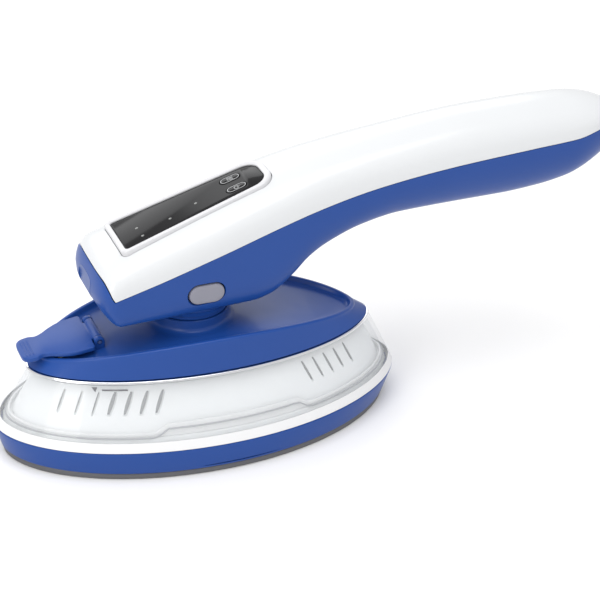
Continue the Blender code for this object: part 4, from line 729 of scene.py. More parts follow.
@dataclass
class Tank:
    """Clear water tank with its liner, pearl band, trim ring, painted shade hoops and lines, and level marks.
    """

    lines: HeadLines
    foot: float = 0.0161
    top: float = 0.0427
    wall: float = 0.0022
    foot_top: float = 0.0190
    foot_thickness: float = 0.0005
    liner_gap: float = 0.0035
    liner_wall: float = 0.0018
    floor_top: float = 0.0194
    band_low: float = 0.0195
    band_high: float = 0.0228
    band_step: Flat = (-0.0315, 0.0390)
    band_wall: float = 0.0012
    slot_width: float = 0.0014
    wide_slots: Flat = (-0.056, 0.0)
    wide_share: float = 1.8
    slot_span: Flat = (0.0275, 0.0375)
    slot_rake: float = 0.0048
    nose_slots: tuple[int, float, float] = (7, -0.0715, 0.0070)
    heel_slots: tuple[int, float, float] = (5, 0.0440, 0.0062)

    def clear_wall(self) -> Thing:
        """Make the clear tank wall."""
        recess, ledge = self.foot_thickness + 0.00005, self.foot_top + 0.0002
        corners = [(recess, self.foot), (recess, ledge), (0.0, ledge), (0.0, self.top), (self.wall, self.top),
                   (self.wall, self.foot)]
        return self.lines.hoop("tank_clear_wall", self.lines.skirt, corners, 0.0002)

    def foot_hoop(self) -> Thing:
        """Make the pearl hoop let into the foot of the clear wall."""
        low = self.lines.band_top[0] + GAP
        top, depth = self.foot_top, self.foot_thickness
        corners = [(0.0, low), (0.0, top), (depth, top), (depth, low)]
        return self.lines.hoop("tank_foot_hoop", self.lines.skirt, corners, 0.00012)

    def liner(self) -> Thing:
        """Make the white liner with its raked slots."""
        outer = self.wall + self.liner_gap
        inner = outer + self.liner_wall
        foot, top = self.floor_top + GAP, 0.0431
        corners = [(outer, foot), (outer, top), (inner, top), (inner, foot)]
        hoop = self.lines.hoop("tank_inner_liner", self.lines.skirt, corners, 0.0004)
        blades = []
        for (count, start, pitch), lean in ((self.nose_slots, -1), (self.heel_slots, 1)):
            for index in range(count):
                blades += [self.blade(start + index * pitch, lean, side) for side in Side]
        return merge(hoop, Merge.CUT, together("slot_blades", blades))

    def blade(self, x: float, lean: int, side: Side) -> Thing:
        """Make the cutter of one slot.

        Args:
            x: Where it crosses its middle height.
            lean: Which way its foot leans along X.
            side: Near or far side.

        Returns:
            The cutter.
        """
        low, high = self.slot_span
        first, last = self.wide_slots
        half = self.slot_width / 2 * (self.wide_share if first < x < last else 1.0)
        sections = []
        for i in range(9):
            share = i / 8
            taper = max(math.sin(math.pi * (0.06 + 0.88 * share)), 0.2) ** 0.35
            thin = half * taper
            middle = x + lean * self.slot_rake * (0.5 - share)
            sections.append([(middle + dx, side.value * y, low + (high - low) * share)
                             for dx, y in ((-thin, 0.004), (thin, 0.004), (thin, 0.055), (-thin, 0.055))])
        return loft("slot_blade", sections)

    def stepped(self, x: float) -> float:
        """Return the height of the pearl band's stepped edge at x."""
        ramp = 0.0060
        rise = min((x - self.band_step[0]) / ramp + 0.5, (self.band_step[1] - x) / ramp + 0.5)
        share = min(max(rise, 0.0), 1.0)
        return self.band_low + (self.band_high - self.band_low) * share * share * (3 - 2 * share)

    def stepped_ring(self, inset: float, lift: float) -> Ring:
        """Return the ring along the stepped edge, inset and lifted."""
        ring = []
        low, high = self.lines.skirt(self.band_low, inset), self.lines.skirt(self.band_high, inset)
        for (x, y), (far_x, far_y) in zip(low, high):
            height = self.stepped(x)
            share = (height - self.band_low) / (self.band_high - self.band_low)
            ring.append((x + (far_x - x) * share, y + (far_y - y) * share, height + lift))
        return ring

    def pearl_band(self) -> Thing:
        """Make the pearl band behind the foot of the clear wall."""
        near = self.wall + GAP + 0.0014
        far, foot = near + self.band_wall, self.floor_top + GAP
        rings = [[(x, y, foot) for x, y in self.lines.skirt(foot, near)]]
        rings += [self.stepped_ring(near, 0.0014), self.stepped_ring(near + 0.0002, 0.0018),
                  self.stepped_ring(near + 0.0004, 0.0020), self.stepped_ring(far - 0.0003, 0.0020),
                  self.stepped_ring(far, 0.0017)]
        rings.append([(x, y, foot) for x, y in self.lines.skirt(foot, far)])
        return loft("tank_pearl_band", rings, loop=True)

    def edge_shade_line(self) -> Thing:
        """Make the dark grey line along the stepped edge, close behind the clear wall: a painted shade line
        at the pearl band's edge.
        """
        near, low, high, depth = self.wall + 0.0002, -0.00005, 0.00045, 0.0009
        section = softened([(0.0, low), (0.0, high), (depth, high), (depth, low)], 0.0001, 2)
        rings = [self.stepped_ring(near + inset, lift) for inset, lift in section]
        return loft("tank_edge_bead", rings, loop=True)

    def trim_ring(self) -> Thing:
        """Make the bright trim ring under the cover."""
        corners = [(-0.0006, 0.0430), (-0.0006, 0.0440), (self.wall, 0.0440), (self.wall, 0.0430)]
        return self.lines.hoop("tank_bright_ring", self.lines.skirt, corners, 0.0003)

    def slot_shade(self) -> Thing:
        """Make the near-black hoop behind the liner's slots: painted shade that darkens the slots, not a real
        inner wall.
        """
        near = self.wall + self.liner_gap + self.liner_wall + 0.0002
        corners = [(near, 0.0250), (near, 0.0395), (near + 0.0008, 0.0395), (near + 0.0008, 0.0250)]
        return self.lines.hoop("tank_slot_shade", self.lines.skirt, corners, 0.0002)

    def top_shade_line(self) -> Thing:
        """Make the dark grey hoop just under the trim, seen through the wall: a painted shadow line, not a
        real seal.
        """
        near = self.wall + 0.0002
        corners = [(near, 0.0414), (near, 0.0426), (near + 0.0010, 0.0426), (near + 0.0010, 0.0414)]
        return self.lines.hoop("tank_top_seal", self.lines.skirt, corners, 0.0002)

    def patch(self, name: str, corners: list[Flat], side: Side) -> Thing:
        """Make a thin raised mark on the clear wall.

        Args:
            name: Object name.
            corners: (x, height) corners.
            side: Near or far side.

        Returns:
            The mark.
        """
        outline = []
        for (ax, az), (bx, bz) in zip(corners, corners[1:] + corners[:1]):
            outline += [(ax + (bx - ax) * i / 6, az + (bz - az) * i / 6) for i in range(6)]
        rings = [[self.lines.on_skirt(x, z, side, inset) for x, z in outline] for inset in (0.0001, -0.00012)]
        return loft(name, rings)

    def build(self) -> None:
        """Build and dress the tank."""
        dress(self.clear_wall(), CLEAR, Body.HEAD, ["water_tank"])
        dress(self.liner(), LINER, Body.HEAD, ["tank_liner"])
        # Painted shade: dark hoop behind the liner's slots.
        dress(self.slot_shade(), SHADE, Body.HEAD)
        dress(self.foot_hoop(), PEARL, Body.HEAD)
        dress(self.pearl_band(), PEARL, Body.HEAD, ["tank_band"])
        # Painted shade line along the pearl band's stepped edge.
        dress(self.edge_shade_line(), SHADOW, Body.HEAD)
        dress(self.trim_ring(), BRIGHT, Body.HEAD, ["tank_trim_ring"])
        # Painted shadow line under the trim.
        dress(self.top_shade_line(), SHADOW, Body.HEAD)
        for side in Side:
            label = side.name.lower()
            arrow = [(-0.0592, 0.0418), (-0.0568, 0.0418), (-0.0580, 0.0398)]
            dress(self.patch(f"level_arrow_{label}", arrow, side), MARK, Body.HEAD)
            line = [(-0.0550, 0.0404), (-0.0440, 0.0404), (-0.0440, 0.0410), (-0.0550, 0.0410)]
            dress(self.patch(f"level_line_{label}", line, side), MARK, Body.HEAD)


@dataclass
class Cover:
    """Blue cover with its arched rim, dished deck, swivel boss and flap lugs."""

    lines: HeadLines
    foot: float = 0.0443
    wall: float = 0.0022
    dish: float = 0.0030
    boss_x: float = -0.0045
    boss_radius: float = 0.0185
    boss_top: float = 0.0630
    rim_profile: tuple[Flat, ...] = ((-0.00032, 0.0006), (-0.0001, 0.00028), (0.0003, 0.00008), (0.0007, 0.0),
                                     (0.0014, 0.0), (0.0018, 0.0001), (0.0021, 0.0004), (0.0024, 0.0010),
                                     (0.0027, 0.0018), (0.0031, 0.0024), (0.0037, 0.0028))
    deck_inset: float = 0.0046
    boss_fillet: tuple[Flat, ...] = ((0.0034, 0.0), (0.0022, 0.00015), (0.0013, 0.0006), (0.0006, 0.0013),
                                     (0.0002, 0.0022))
    roof: float = 0.0594
    bore: float = 0.0103
    hinge: Flat = (-0.0510, 0.0562)
    knuckle: Flat = (0.0024, 0.0080)
    lug: float = 0.0026
    mouth: tuple[float, float, float] = (-0.0715, -0.0600, 0.0068)

    def rim(self, inset: float, drop: float) -> Ring:
        """Return a ring parallel to the arched rim, inset and lowered."""
        length, width = self.lines.rim_half
        return [(x, y, self.lines.rim_height(x) - drop)
                for x, y in self.lines.oval(length - inset, width - inset, self.lines.rim_x)]

    def blend(self, outer: Ring, inner: Ring, share: float, drop: float) -> Ring:
        """Return a ring between two others in plan, at a drop below the rim's arch."""
        points = []
        for (ax, ay, _), (bx, by, _) in zip(outer, inner):
            x, y = ax + (bx - ax) * share, ay + (by - ay) * share
            points.append((x, y, self.lines.rim_height(x) - drop))
        return points

    def boss(self, radius: float, height: Optional[float], drop: float = 0.0) -> Ring:
        """Return a ring round the boss at a height, or at a drop below the rim's arch."""
        return [(x, y, self.lines.rim_height(x) - drop if height is None else height)
                for x, y in circle(radius, (self.boss_x, 0.0), self.lines.steps)]

    def shell(self) -> Thing:
        """Make the cover's shell from its wall over the rim and the deck to the boss, and back inside."""
        _, length, width, centre = self.lines.trim_line
        edge = [(x, y, self.foot) for x, y in self.lines.oval(length, width, centre)]
        top = self.rim(-0.0004, 0.0010)
        rings = [[(x, y, self.foot) for x, y in self.lines.oval(length - 0.0005, width - 0.0005, centre)]]
        for share in (0.03, 0.10, 0.25, 0.45, 0.65, 0.85, 1.0):
            rings.append([tuple(Vector(a).lerp(Vector(b), share)) for a, b in zip(edge, top)])
        rings += [self.rim(inset, drop) for inset, drop in (*self.rim_profile, (self.deck_inset, self.dish))]
        inner_edge = self.rim(self.deck_inset, self.dish)
        root = self.boss(self.boss_radius + self.boss_fillet[0][0], None, self.dish)
        deck_shares = (0.12, 0.27, 0.43, 0.59, 0.75, 0.89)
        rings += [self.blend(inner_edge, root, share, self.dish) for share in deck_shares]
        rings += [self.boss(self.boss_radius + out, None, self.dish - lift) for out, lift in self.boss_fillet]
        rings += [self.boss(self.boss_radius, self.boss_top - 0.0008),
                  self.boss(self.boss_radius - 0.0001, self.boss_top - 0.0003),
                  self.boss(self.boss_radius - 0.0004, self.boss_top), self.boss(self.bore, self.boss_top),
                  self.boss(self.bore, self.roof), self.boss(self.boss_radius - self.wall, self.roof)]
        ceiling = self.dish + self.wall
        inside = self.boss(self.boss_radius - self.wall, None, ceiling)
        far = self.rim(0.0041, ceiling)
        rings.append(inside)
        rings += [self.blend(inside, far, share, ceiling) for share in (0.25, 0.5, 0.75, 1.0)]
        rings.append(level(self.lines.oval(length - self.wall, width - self.wall, centre), self.foot))
        return loft("cover_shell", rings, loop=True)

    def build(self) -> None:
        """Build and dress the cover."""
        cover = self.shell()
        radius, half = self.knuckle
        x, z = self.hinge
        low = self.lines.rim_height(x) - self.dish - 0.0012
        for side in Side:
            near = half + GAP
            cheek = softened([(x - radius, low), (x - radius, z + radius), (x + radius, z + radius),
                              (x + radius, low)], radius * 0.98, 6)
            rings = [[(px, side.value * y, pz) for px, pz in cheek] for y in (near, near + self.lug)]
            merge(cover, Merge.JOIN, eased(loft("flap_lug", rings), 0.0004, 2))
        front, rear, width = self.mouth
        opening = softened([(front, -width), (rear, -width), (rear, width), (front, width)], 0.0020, 4)
        pin_hole = [[(px, y, pz) for px, pz in circle(0.0012, self.hinge, 20)] for y in (-0.0130, 0.0130)]
        merge(cover, Merge.CUT, prism("mouth_cutter", opening, 0.0194, self.lines.rim_height(rear) + 0.002),
              loft("pin_cutter", pin_hole))
        dress(cover, BLUE, Body.HEAD, ["top_cover"])
        inner, outer, foot = self.bore, self.boss_radius - 0.0008, self.boss_top + GAP
        washer = turned("swivel_washer", softened([(inner, foot), (outer, foot), (outer, foot + 0.0015),
                                                   (inner, foot + 0.0015)], 0.0003, 3), (self.boss_x, 0.0))
        dress(washer, BLUE, Body.HEAD, ["bearing_washer"])


@dataclass
class Flap:
    """Filler flap with its knuckle and finger tab."""

    hinge: Flat = (-0.0510, 0.0562)
    slope: float = math.radians(8.1)
    thickness: float = 0.0022
    knuckle: Flat = (0.0024, 0.0080)
    pin: float = 0.0012

    def outline(self) -> Outline:
        """Return the flap's outline in its own plane, with the hinge at its origin."""
        side = [(0.0, 0.0072), (-0.0030, 0.0072), (-0.0030, 0.0148), (-0.0110, 0.0146), (-0.0150, 0.0136),
                (-0.0190, 0.0116), (-0.0225, 0.0092), (-0.0255, 0.0080), (-0.0272, 0.0086), (-0.0288, 0.0094),
                (-0.0330, 0.0090), (-0.0350, 0.0070), (-0.0355, 0.0044)]
        return softened(side + [(x, -y) for x, y in reversed(side)], 0.0016, 4)

    def build(self) -> None:
        """Build and dress the flap."""
        half = self.thickness / 2
        plate = eased(prism("flap_plate", self.outline(), -half, half), 0.0005, 3)
        radius, reach = self.knuckle
        barrel = loft("flap_knuckle", [[(x, y, z) for x, z in circle(r, (0.0, 0.0), 32)] for r, y in
                                       ((radius - 0.0003, -reach), (radius, -reach + 0.0003),
                                        (radius, reach - 0.0003), (radius - 0.0003, reach))])
        merge(plate, Merge.JOIN, barrel)
        grip = [self.rib(x) for x in (-0.0300, -0.0315, -0.0330)]
        merge(plate, Merge.JOIN, together("flap_ribs", grip))
        pin = circle(self.pin, steps=20)
        merge(plate, Merge.CUT, loft("flap_pin_cutter", [upright(pin, -0.02), upright(pin, 0.02)]))
        plate.name = "filler_flap_plate"
        turn = Matrix.Translation((self.hinge[0], 0.0, self.hinge[1])) @ Matrix.Rotation(-self.slope, 4, "Y")
        dress(moved(plate, turn), BLUE, Body.FLAP, ["filler_flap"])

    def rib(self, x: float) -> Thing:
        """Make one low rib across the finger tab."""
        top, half = self.thickness / 2, 0.0062
        rings = [[(x + 0.0004 * math.cos(turn), y, top - 0.0001 + 0.00035 * math.sin(turn))
                  for turn in (math.pi * k / 6 - 0.2 * (k == 0) + 0.2 * (k == 6) for k in range(7))]
                 for y in (-half, half)]
        return loft("flap_rib", rings)


# ---------------------------------------------------------------- handle
@dataclass
class HandleLines:
    """Lines and sections of the handle."""

    front_x: float = -0.0546
    tail_x: float = 0.2170
    front_rounding: float = 0.0085
    tail_rounding: float = 0.0360
    tail_closing: float = 0.93
    lean_length: float = 0.0200
    underside: float = 0.0680

    def __post_init__(self) -> None:
        """Make the smooth lines."""
        self.top = smooth_line([(-0.0546, 0.0962), (-0.0440, 0.1000), (0.0320, 0.1256), (0.0560, 0.1318),
                                (0.0950, 0.1382), (0.1350, 0.1425), (0.1700, 0.1436), (0.2000, 0.1428),
                                (0.2170, 0.1400)])
        self.split_points = [(-0.0475, 0.0842), (-0.0270, 0.0898), (0.0016, 0.0984), (0.0504, 0.1122),
                             (0.0802, 0.1183), (0.1206, 0.1232), (0.1615, 0.1262), (0.1835, 0.1276),
                             (0.1950, 0.1300), (0.2170, 0.1350)]
        self.split = smooth_line(self.split_points)
        self.bottom = smooth_line([(-0.0546, 0.0680), (0.0190, 0.0680), (0.0280, 0.0695), (0.0400, 0.0772),
                                   (0.0470, 0.0836), (0.0560, 0.0886), (0.0750, 0.0948), (0.0950, 0.0972),
                                   (0.1250, 0.0977), (0.1500, 0.0979), (0.1700, 0.0993), (0.1850, 0.1020),
                                   (0.2170, 0.1135)])
        self.half_width = smooth_line([(-0.0546, 0.0262), (-0.0045, 0.0255), (0.0300, 0.0235),
                                       (0.0600, 0.0216), (0.1000, 0.0204), (0.1500, 0.0200),
                                       (0.1900, 0.0192), (0.2170, 0.0180)])
        self.upper_power = smooth_line([(-0.0546, 3.2), (0.0300, 3.0), (0.0900, 2.5), (0.2170, 2.2)])
        self.lower_power = smooth_line([(-0.0546, 6.0), (0.0200, 6.0), (0.0600, 3.4), (0.1000, 2.4),
                                        (0.2170, 2.2)])
        self.middle = smooth_line([(-0.0546, 0.0840), (-0.0400, 0.0840), (0.1500, 0.1230), (0.2170, 0.1280)])
        self.lean = smooth_line([(0.0680, 0.0062), (0.0776, 0.0016), (0.0820, 0.0), (0.0916, 0.0016),
                                 (0.0990, 0.0036)])
        self.front_edge = [(-0.0700, 0.0932), (-0.0512, 0.0932), (-0.0500, 0.0900), (-0.0487, 0.0862),
                           (-0.0480, 0.0849)]

    def share(self, x: float, inset: float) -> float:
        """Return how much of the full section is left at x."""
        front = (self.front_x + self.front_rounding - x) / (self.front_rounding - inset)
        if front > 0:
            return (1 - min(front, 0.985) ** 3) ** (1 / 3)
        tail = (x - (self.tail_x - self.tail_closing * self.tail_rounding)) / (self.tail_rounding - inset)
        return math.sqrt(max(0.0, 1 - tail * tail)) if tail > 0 else 1.0

    def ring(self, x: float, inset: float, steps: int) -> Ring:
        """Return the handle's section at x.

        Args:
            x: Place along the handle.
            inset: How far inward.
            steps: Number of points.

        Returns:
            The section, widest on the split.
        """
        share, middle = self.share(x, inset), self.middle(x)
        top, split, bottom = (middle + (height - middle) * share for height in
                              (self.top(x) - inset, self.split(x), self.bottom(x) + inset))
        split = min(max(split, bottom + 0.3 * (top - bottom)), top - 0.2 * (top - bottom))
        half_width = (self.half_width(x) - inset) * share
        fade = max(0.0, 1 - (x - self.front_x) / self.lean_length)
        points = []
        for i in range(steps):
            turn = 2 * math.pi * i / steps
            across, rise = math.cos(turn), math.sin(turn)
            power = 2 / (self.upper_power(x) if rise >= 0 else self.lower_power(x))
            reach = (top - split) if rise >= 0 else (split - bottom)
            z = split + reach * math.copysign(abs(rise) ** power, rise)
            y = half_width * math.copysign(abs(across) ** power, across)
            points.append((x + fade * self.lean(z), y, z))
        return points

    def form(self, name: str, inset: float, steps: int, front_wall: float = 0.0) -> Thing:
        """Make the handle's closed form.

        Args:
            name: Object name.
            inset: How far inward.
            steps: Points of each section.
            front_wall: How far behind the front it starts.

        Returns:
            The solid.
        """
        start, end = self.front_x + front_wall, self.tail_x - inset
        fine = (0.0, 0.012, 0.03, 0.06, 0.10, 0.16, 0.23, 0.32, 0.43, 0.56, 0.72, 0.9)
        shares = (0.0, 0.3, 0.6) if inset else fine
        front = [start + self.front_rounding * share for share in shares]
        rear = end - self.tail_rounding * 0.8
        count = 60 if inset else 104
        places = front + [front[-1] + (rear - front[-1]) * (i + 1) / count for i in range(count)]
        places += [rear + (end - rear) * share for share in
                   (0.1, 0.2, 0.3, 0.4, 0.5, 0.6, 0.69, 0.77, 0.84, 0.9, 0.95, 0.98, 1.0)]
        return loft(name, [self.ring(x, inset, steps) for x in places])

    def wedge(self, name: str, above: bool, gap: float) -> Thing:
        """Make everything above or below the split.

        Args:
            name: Object name.
            above: True for what is above.
            gap: Width of the seam.

        Returns:
            The solid.
        """
        shift = -gap / 2 if above else gap / 2
        start = self.split_points[0][0]
        tail = [(start + (self.tail_x - start) * i / 90, self.split(start + (self.tail_x - start) * i / 90))
                for i in range(91)]
        line = softened(self.front_edge + tail[:1], 0.0022, 5, closed=False) + tail[1:]
        line = [(x + shift, z + shift) for x, z in line]
        line.append((self.tail_x + 0.02, line[-1][1]))
        far = 0.2 if above else 0.03
        outline = line + [(line[-1][0], far), (line[0][0], far)]
        return loft(name, [upright(outline, -0.04), upright(outline, 0.04)])


@dataclass
class Grip:
    """The handle's two shells and its cord gland."""

    lines: HandleLines
    panel: "KeyPanel"
    boss_x: float = -0.0045
    wall: float = 0.0024
    front_wall: float = 0.0050
    seam: float = 0.00035
    neck_radius: float = 0.0185
    neck_foot: float = 0.0651
    bore: float = 0.0103
    crown_seat: tuple[float, float, float] = (0.0171, 0.0704, 0.0771)
    button_height: float = 0.0805
    button: Flat = (0.0170, 0.0095)
    screws: tuple[float, ...] = (0.080, 0.113, 0.172)
    screw_way: float = 0.0032
    screw_bore: float = 0.0018
    bore_depth: float = 0.0085
    head_seat: float = 0.0034
    upper_post: float = 0.0036
    lower_post: float = 0.0046
    slot_flare: tuple[Flat, ...] = ((0.0300, 0.0012), (0.0262, 0.0012), (0.0252, 0.0008), (0.0244, 0.0004))
    gland_hole_radius: float = 0.0059
    gland_height: float = 0.1280

    def shell(self, name: str, above: bool) -> Thing:
        """Make one hollow half of the handle."""
        body = self.lines.form(name, 0.0, 112)
        hollow = self.lines.form(name + "_hollow", self.wall, 48, self.front_wall)
        return merge(body, Merge.CUT, hollow, self.lines.wedge(name + "_wedge", not above, self.seam))

    def upper(self) -> Thing:
        """Make the white upper shell with the panel's opening and the screw posts."""
        shell = self.shell("handle_white_shell", True)
        merge(shell, Merge.CUT, self.panel.opening())
        split, top = self.lines.split, self.lines.top
        posts = [rod("upper_post", self.upper_post, split(x) + GAP, top(x) - 0.0014, (x, 0.0), 24)
                 for x in self.screws]
        merge(shell, Merge.JOIN, together("upper_posts", posts))
        drills = [rod("upper_drill", self.screw_bore, split(x) - 0.001, split(x) + self.bore_depth,
                      (x, 0.0), 16) for x in self.screws]
        return merge(shell, Merge.CUT, together("upper_drills", drills), self.gland_hole("upper_gland_hole"))

    def lower(self) -> Thing:
        """Make the blue lower shell with its neck, button slots and screw ways."""
        shell = self.shell("handle_blue_shell", False)
        radius, foot, join = self.neck_radius, self.neck_foot, self.lines.underside + 0.0012
        neck = [(radius - 0.0005, foot), (radius - 0.0001, foot + 0.0002), (radius, foot + 0.0006),
                (radius, self.lines.underside - 0.0010), (radius + 0.0002, self.lines.underside - 0.0005),
                (radius + 0.0008, self.lines.underside), (radius + 0.0008, join)]
        merge(shell, Merge.JOIN, loft("neck", [[(x, y, z) for x, y in circle(r, (self.boss_x, 0.0), 72)]
                                               for r, z in neck]))
        seat_radius, seat_foot, seat_top = self.crown_seat
        axis = (self.boss_x, 0.0)
        merge(shell, Merge.CUT, rod("neck_bore", self.bore, foot - 0.001, seat_foot + 0.001, axis, 64))
        merge(shell, Merge.CUT, rod("crown_seat", seat_radius, seat_foot, seat_top, axis, 64))
        merge(shell, Merge.CUT, self.button_slot())
        bottom, split = self.lines.bottom, self.lines.split
        posts = [rod("lower_post", self.lower_post, bottom(x) + 0.0012, split(x) - GAP, (x, 0.0), 24)
                 for x in self.screws]
        merge(shell, Merge.JOIN, together("lower_posts", posts))
        ways, holes = [], []
        for x in self.screws:
            seat = bottom(x) + self.head_seat
            ways.append(rod("screw_way", self.screw_way, seat - 0.014, seat, (x, 0.0), 32))
            holes.append(rod("screw_hole", self.screw_bore, seat - 0.002, split(x) + 0.001, (x, 0.0), 16))
        merge(shell, Merge.CUT, together("screw_ways", ways), together("screw_holes", holes))
        return merge(shell, Merge.CUT, self.gland_hole("lower_gland_hole"))

    def button_slot(self) -> Thing:
        """Make the cutter of both button slots, flared at the surface."""
        length, width = self.button
        rings = []
        far = [(-y, gap) for y, gap in self.slot_flare]
        for y, gap in far + list(reversed(self.slot_flare)):
            rings.append([(self.boss_x + x, y, self.button_height + z)
                          for x, z in pill(length + 2 * gap, width + 2 * gap)])
        return loft("button_slot", rings)

    def gland_hole(self, name: str) -> Thing:
        """Make the cutter of the gland's hole."""
        rings = [[(x, y, self.gland_height + z) for y, z in circle(self.gland_hole_radius, (0.0, 0.0), 40)]
                 for x in (self.lines.tail_x - 0.012, self.lines.tail_x + 0.010)]
        return loft(name, rings)

    def gland(self) -> Thing:
        """Make the cord gland with a rounded flange."""
        start, end = self.lines.tail_x - 0.0090, self.lines.tail_x + GAP
        top = end + 0.0020
        profile = softened([(0.0035, start), (0.0056, start), (0.0056, end), (0.0072, end), (0.0072, top),
                            (0.0035, top)], 0.0005, 4)
        rings = [[(height, y, self.gland_height + z) for y, z in circle(radius, (0.0, 0.0), 64)]
                 for radius, height in profile]
        return loft("cord_gland_ring", rings, loop=True)

    def build(self) -> None:
        """Build and dress the grip."""
        dress(self.upper(), WHITE, Body.HANDLE, ["handle_upper_shell"])
        dress(self.lower(), BLUE, Body.HANDLE, ["handle_lower_shell"])
        dress(self.gland(), RUBBER, Body.HANDLE, ["cord_gland"])


@dataclass
class KeyPanel:
    """Bezel, glass, lamps and the two keys with their symbols."""

    front: Flat = (-0.0408, 0.1018)
    slope: float = math.radians(18.6)
    length: float = 0.0775
    front_half: float = 0.0155
    rear_half: float = 0.0125
    front_corner: float = 0.0030
    rear_corner: float = 0.0085
    proud: float = 0.0007
    foot: float = -0.0045
    border: float = 0.0021
    ends: float = 0.0030
    glass_thickness: float = 0.0018
    ledge: float = 0.0014
    key: Flat = (0.0100, 0.0050)
    key_x: float = 0.0605
    key_y: float = 0.0046
    print_levels: Flat = (0.00015, 0.00026)
    lamps: tuple[Flat, ...] = ((0.0120, 0.0000), (0.0124, -0.0080), (0.0271, -0.0047), (0.0408, -0.0020))

    def plane(self) -> Matrix:
        """Return the matrix from the panel's own plane to the handle."""
        return Matrix.Translation((self.front[0], 0.0, self.front[1])) @ Matrix.Rotation(-self.slope, 4, "Y")

    def outline(self, border: float, ends: float) -> Outline:
        """Return the bezel's outline in its own plane.

        Args:
            border: How far inward at the sides.
            ends: How far inward at the ends.

        Returns:
            The outline, square in front and round behind.
        """
        shrink = border * 0.6
        points = []
        corners = ((self.length - ends, self.rear_half - border, self.rear_corner - shrink, 0.0, -1),
                   (ends * 0.85, self.front_half - border, max(self.front_corner - shrink, 0.0008), 90.0, 1))
        for x, width, radius, start, inward in corners:
            for i in range(17):
                turn = math.radians(start + 90.0 * i / 16)
                points.append((x + inward * radius + radius * math.cos(turn),
                               width - radius + radius * math.sin(turn)))
        return points + [(x, -y) for x, y in reversed(points)]

    def opening(self) -> Thing:
        """Make the cutter of the bezel's opening in the shell."""
        return moved(prism("panel_opening", self.outline(-GAP, -GAP), -0.012, 0.012), self.plane())

    def bezel(self) -> Thing:
        """Make the bezel with a rounded outer edge and a stepped ledge for the glass."""
        opening = (self.border, self.ends)
        ledge = (self.border + self.ledge, self.ends + self.ledge)
        seat = -self.glass_thickness - GAP
        levels = [((0.0, 0.0), self.foot), ((0.0, 0.0), 0.0), ((0.00008, 0.00008), 0.00025),
                  ((0.0003, 0.0003), 0.0005), ((0.0006, 0.0006), self.proud),
                  ((0.0010, 0.0012), self.proud + 0.00005),
                  ((self.border - 0.0005, self.ends - 0.0006), self.proud - 0.00008),
                  ((self.border - 0.0002, self.ends - 0.0002), self.proud - 0.0002),
                  (opening, self.proud - 0.0005), (opening, seat), (ledge, seat), (ledge, self.foot)]
        return loft("panel_bezel_frame", [[(x, y, height) for x, y in self.outline(*insets)]
                                          for insets, height in levels], loop=True, crease=40.0)

    def glass(self) -> Thing:
        """Make the panel's glass with its key holes."""
        edge = self.outline(self.border + GAP, self.ends + GAP)
        pane = prism("panel_glass_pane", edge, -self.glass_thickness, 0.0)
        eased(pane, 0.00022, 2)
        length, width = self.key
        places = [(self.key_x, side.value * self.key_y) for side in Side]
        holes = [prism("key_hole", pill(length + 2 * GAP, width + 2 * GAP, place), -0.004, 0.004)
                 for place in places]
        return merge(pane, Merge.CUT, together("key_holes", holes))

    def key_cap(self, name: str, side: Side) -> Thing:
        """Make one key: a pill-shaped cap on its flange."""
        length, width = self.key
        centre, top = (self.key_x, side.value * self.key_y), 0.0002
        seat, foot = -self.glass_thickness - GAP, -self.glass_thickness - GAP - 0.0009
        levels = [(0.0016, foot), (0.0016, seat - 0.0001), (0.0014, seat), (0.0, seat), (0.0, top - 0.0003),
                  (-0.0002, top - 0.0001), (-0.0006, top)]
        return loft(name, [level(pill(length + grow, width + grow, centre), z) for grow, z in levels])

    def wire(self, name: str, path: list[Flat], closed: bool, half: float = 0.00013) -> Thing:
        """Make a thin raised line in the panel's plane.

        Args:
            name: Object name.
            path: Points of the line.
            closed: True joins its end to its start.
            half: Half its width.

        Returns:
            The line.
        """
        low, high = self.print_levels
        sections = []
        count = len(path)
        for i, point in enumerate(path):
            before = path[i - 1] if closed or i else path[0]
            after = path[(i + 1) % count] if closed or i < count - 1 else path[-1]
            along = (Vector(after) - Vector(before)).normalized()
            side = Vector((-along.y, along.x)) * half
            near, far = Vector(point) + side, Vector(point) - side
            sections.append([(near.x, near.y, low), (near.x, near.y, high),
                             (far.x, far.y, high), (far.x, far.y, low)])
        return loft(name, sections, loop=closed)

    def symbols(self, side: Side) -> list[Thing]:
        """Make a key's outline and its generic symbol: power near, steam far.

        Args:
            side: Which key.

        Returns:
            The raised lines.
        """
        x, y = self.key_x, side.value * self.key_y
        length, width = self.key
        lines = [self.wire("key_outline", pill(length - 0.0012, width - 0.0012, (x, y)), True)]
        if side is Side.NEAR:
            arc = [(x + 0.0011 * math.cos(turn), y + 0.0011 * math.sin(turn))
                   for turn in (math.radians(35 + 290 * i / 20) for i in range(21))]
            bar = [(x + 0.0003, y), (x + 0.0014, y)]
            lines += [self.wire("power_arc", arc, False), self.wire("power_bar", bar, False)]
        else:
            for shift in (-0.0009, 0.0, 0.0009):
                wave = [(x - 0.0014 + 0.0028 * i / 14, y + shift + 0.00022 * math.sin(2 * math.pi * i / 14))
                        for i in range(15)]
                lines.append(self.wire("steam_wave", wave, False))
        return lines

    def build(self) -> None:
        """Build and dress the panel."""
        plane = self.plane()
        dress(moved(self.bezel(), plane), SILVER, Body.HANDLE, ["panel_bezel"])
        dress(moved(self.glass(), plane), PANEL, Body.HANDLE, ["panel_glass"])
        keys = (("power_key", Side.NEAR, Body.POWER_KEY), ("steam_key", Side.FAR, Body.STEAM_KEY))
        for name, side, body in keys:
            dress(moved(self.key_cap(name + "_cap", side), plane), PANEL, body, [name])
            print_work = together(name + "_symbol", self.symbols(side))
            dress(moved(print_work, plane), PRINT, body)
        for index, place in enumerate(self.lamps, 1):
            lens = [[(x, y, z) for x, y in circle(r, place, 24)] for r, z in
                    ((0.0007, -0.0004), (0.0007, 0.00002), (0.0005, 0.00010), (0.0002, 0.00014))]
            dress(moved(loft(f"panel_lamp_{index}", lens), plane), LAMP, Body.HANDLE)


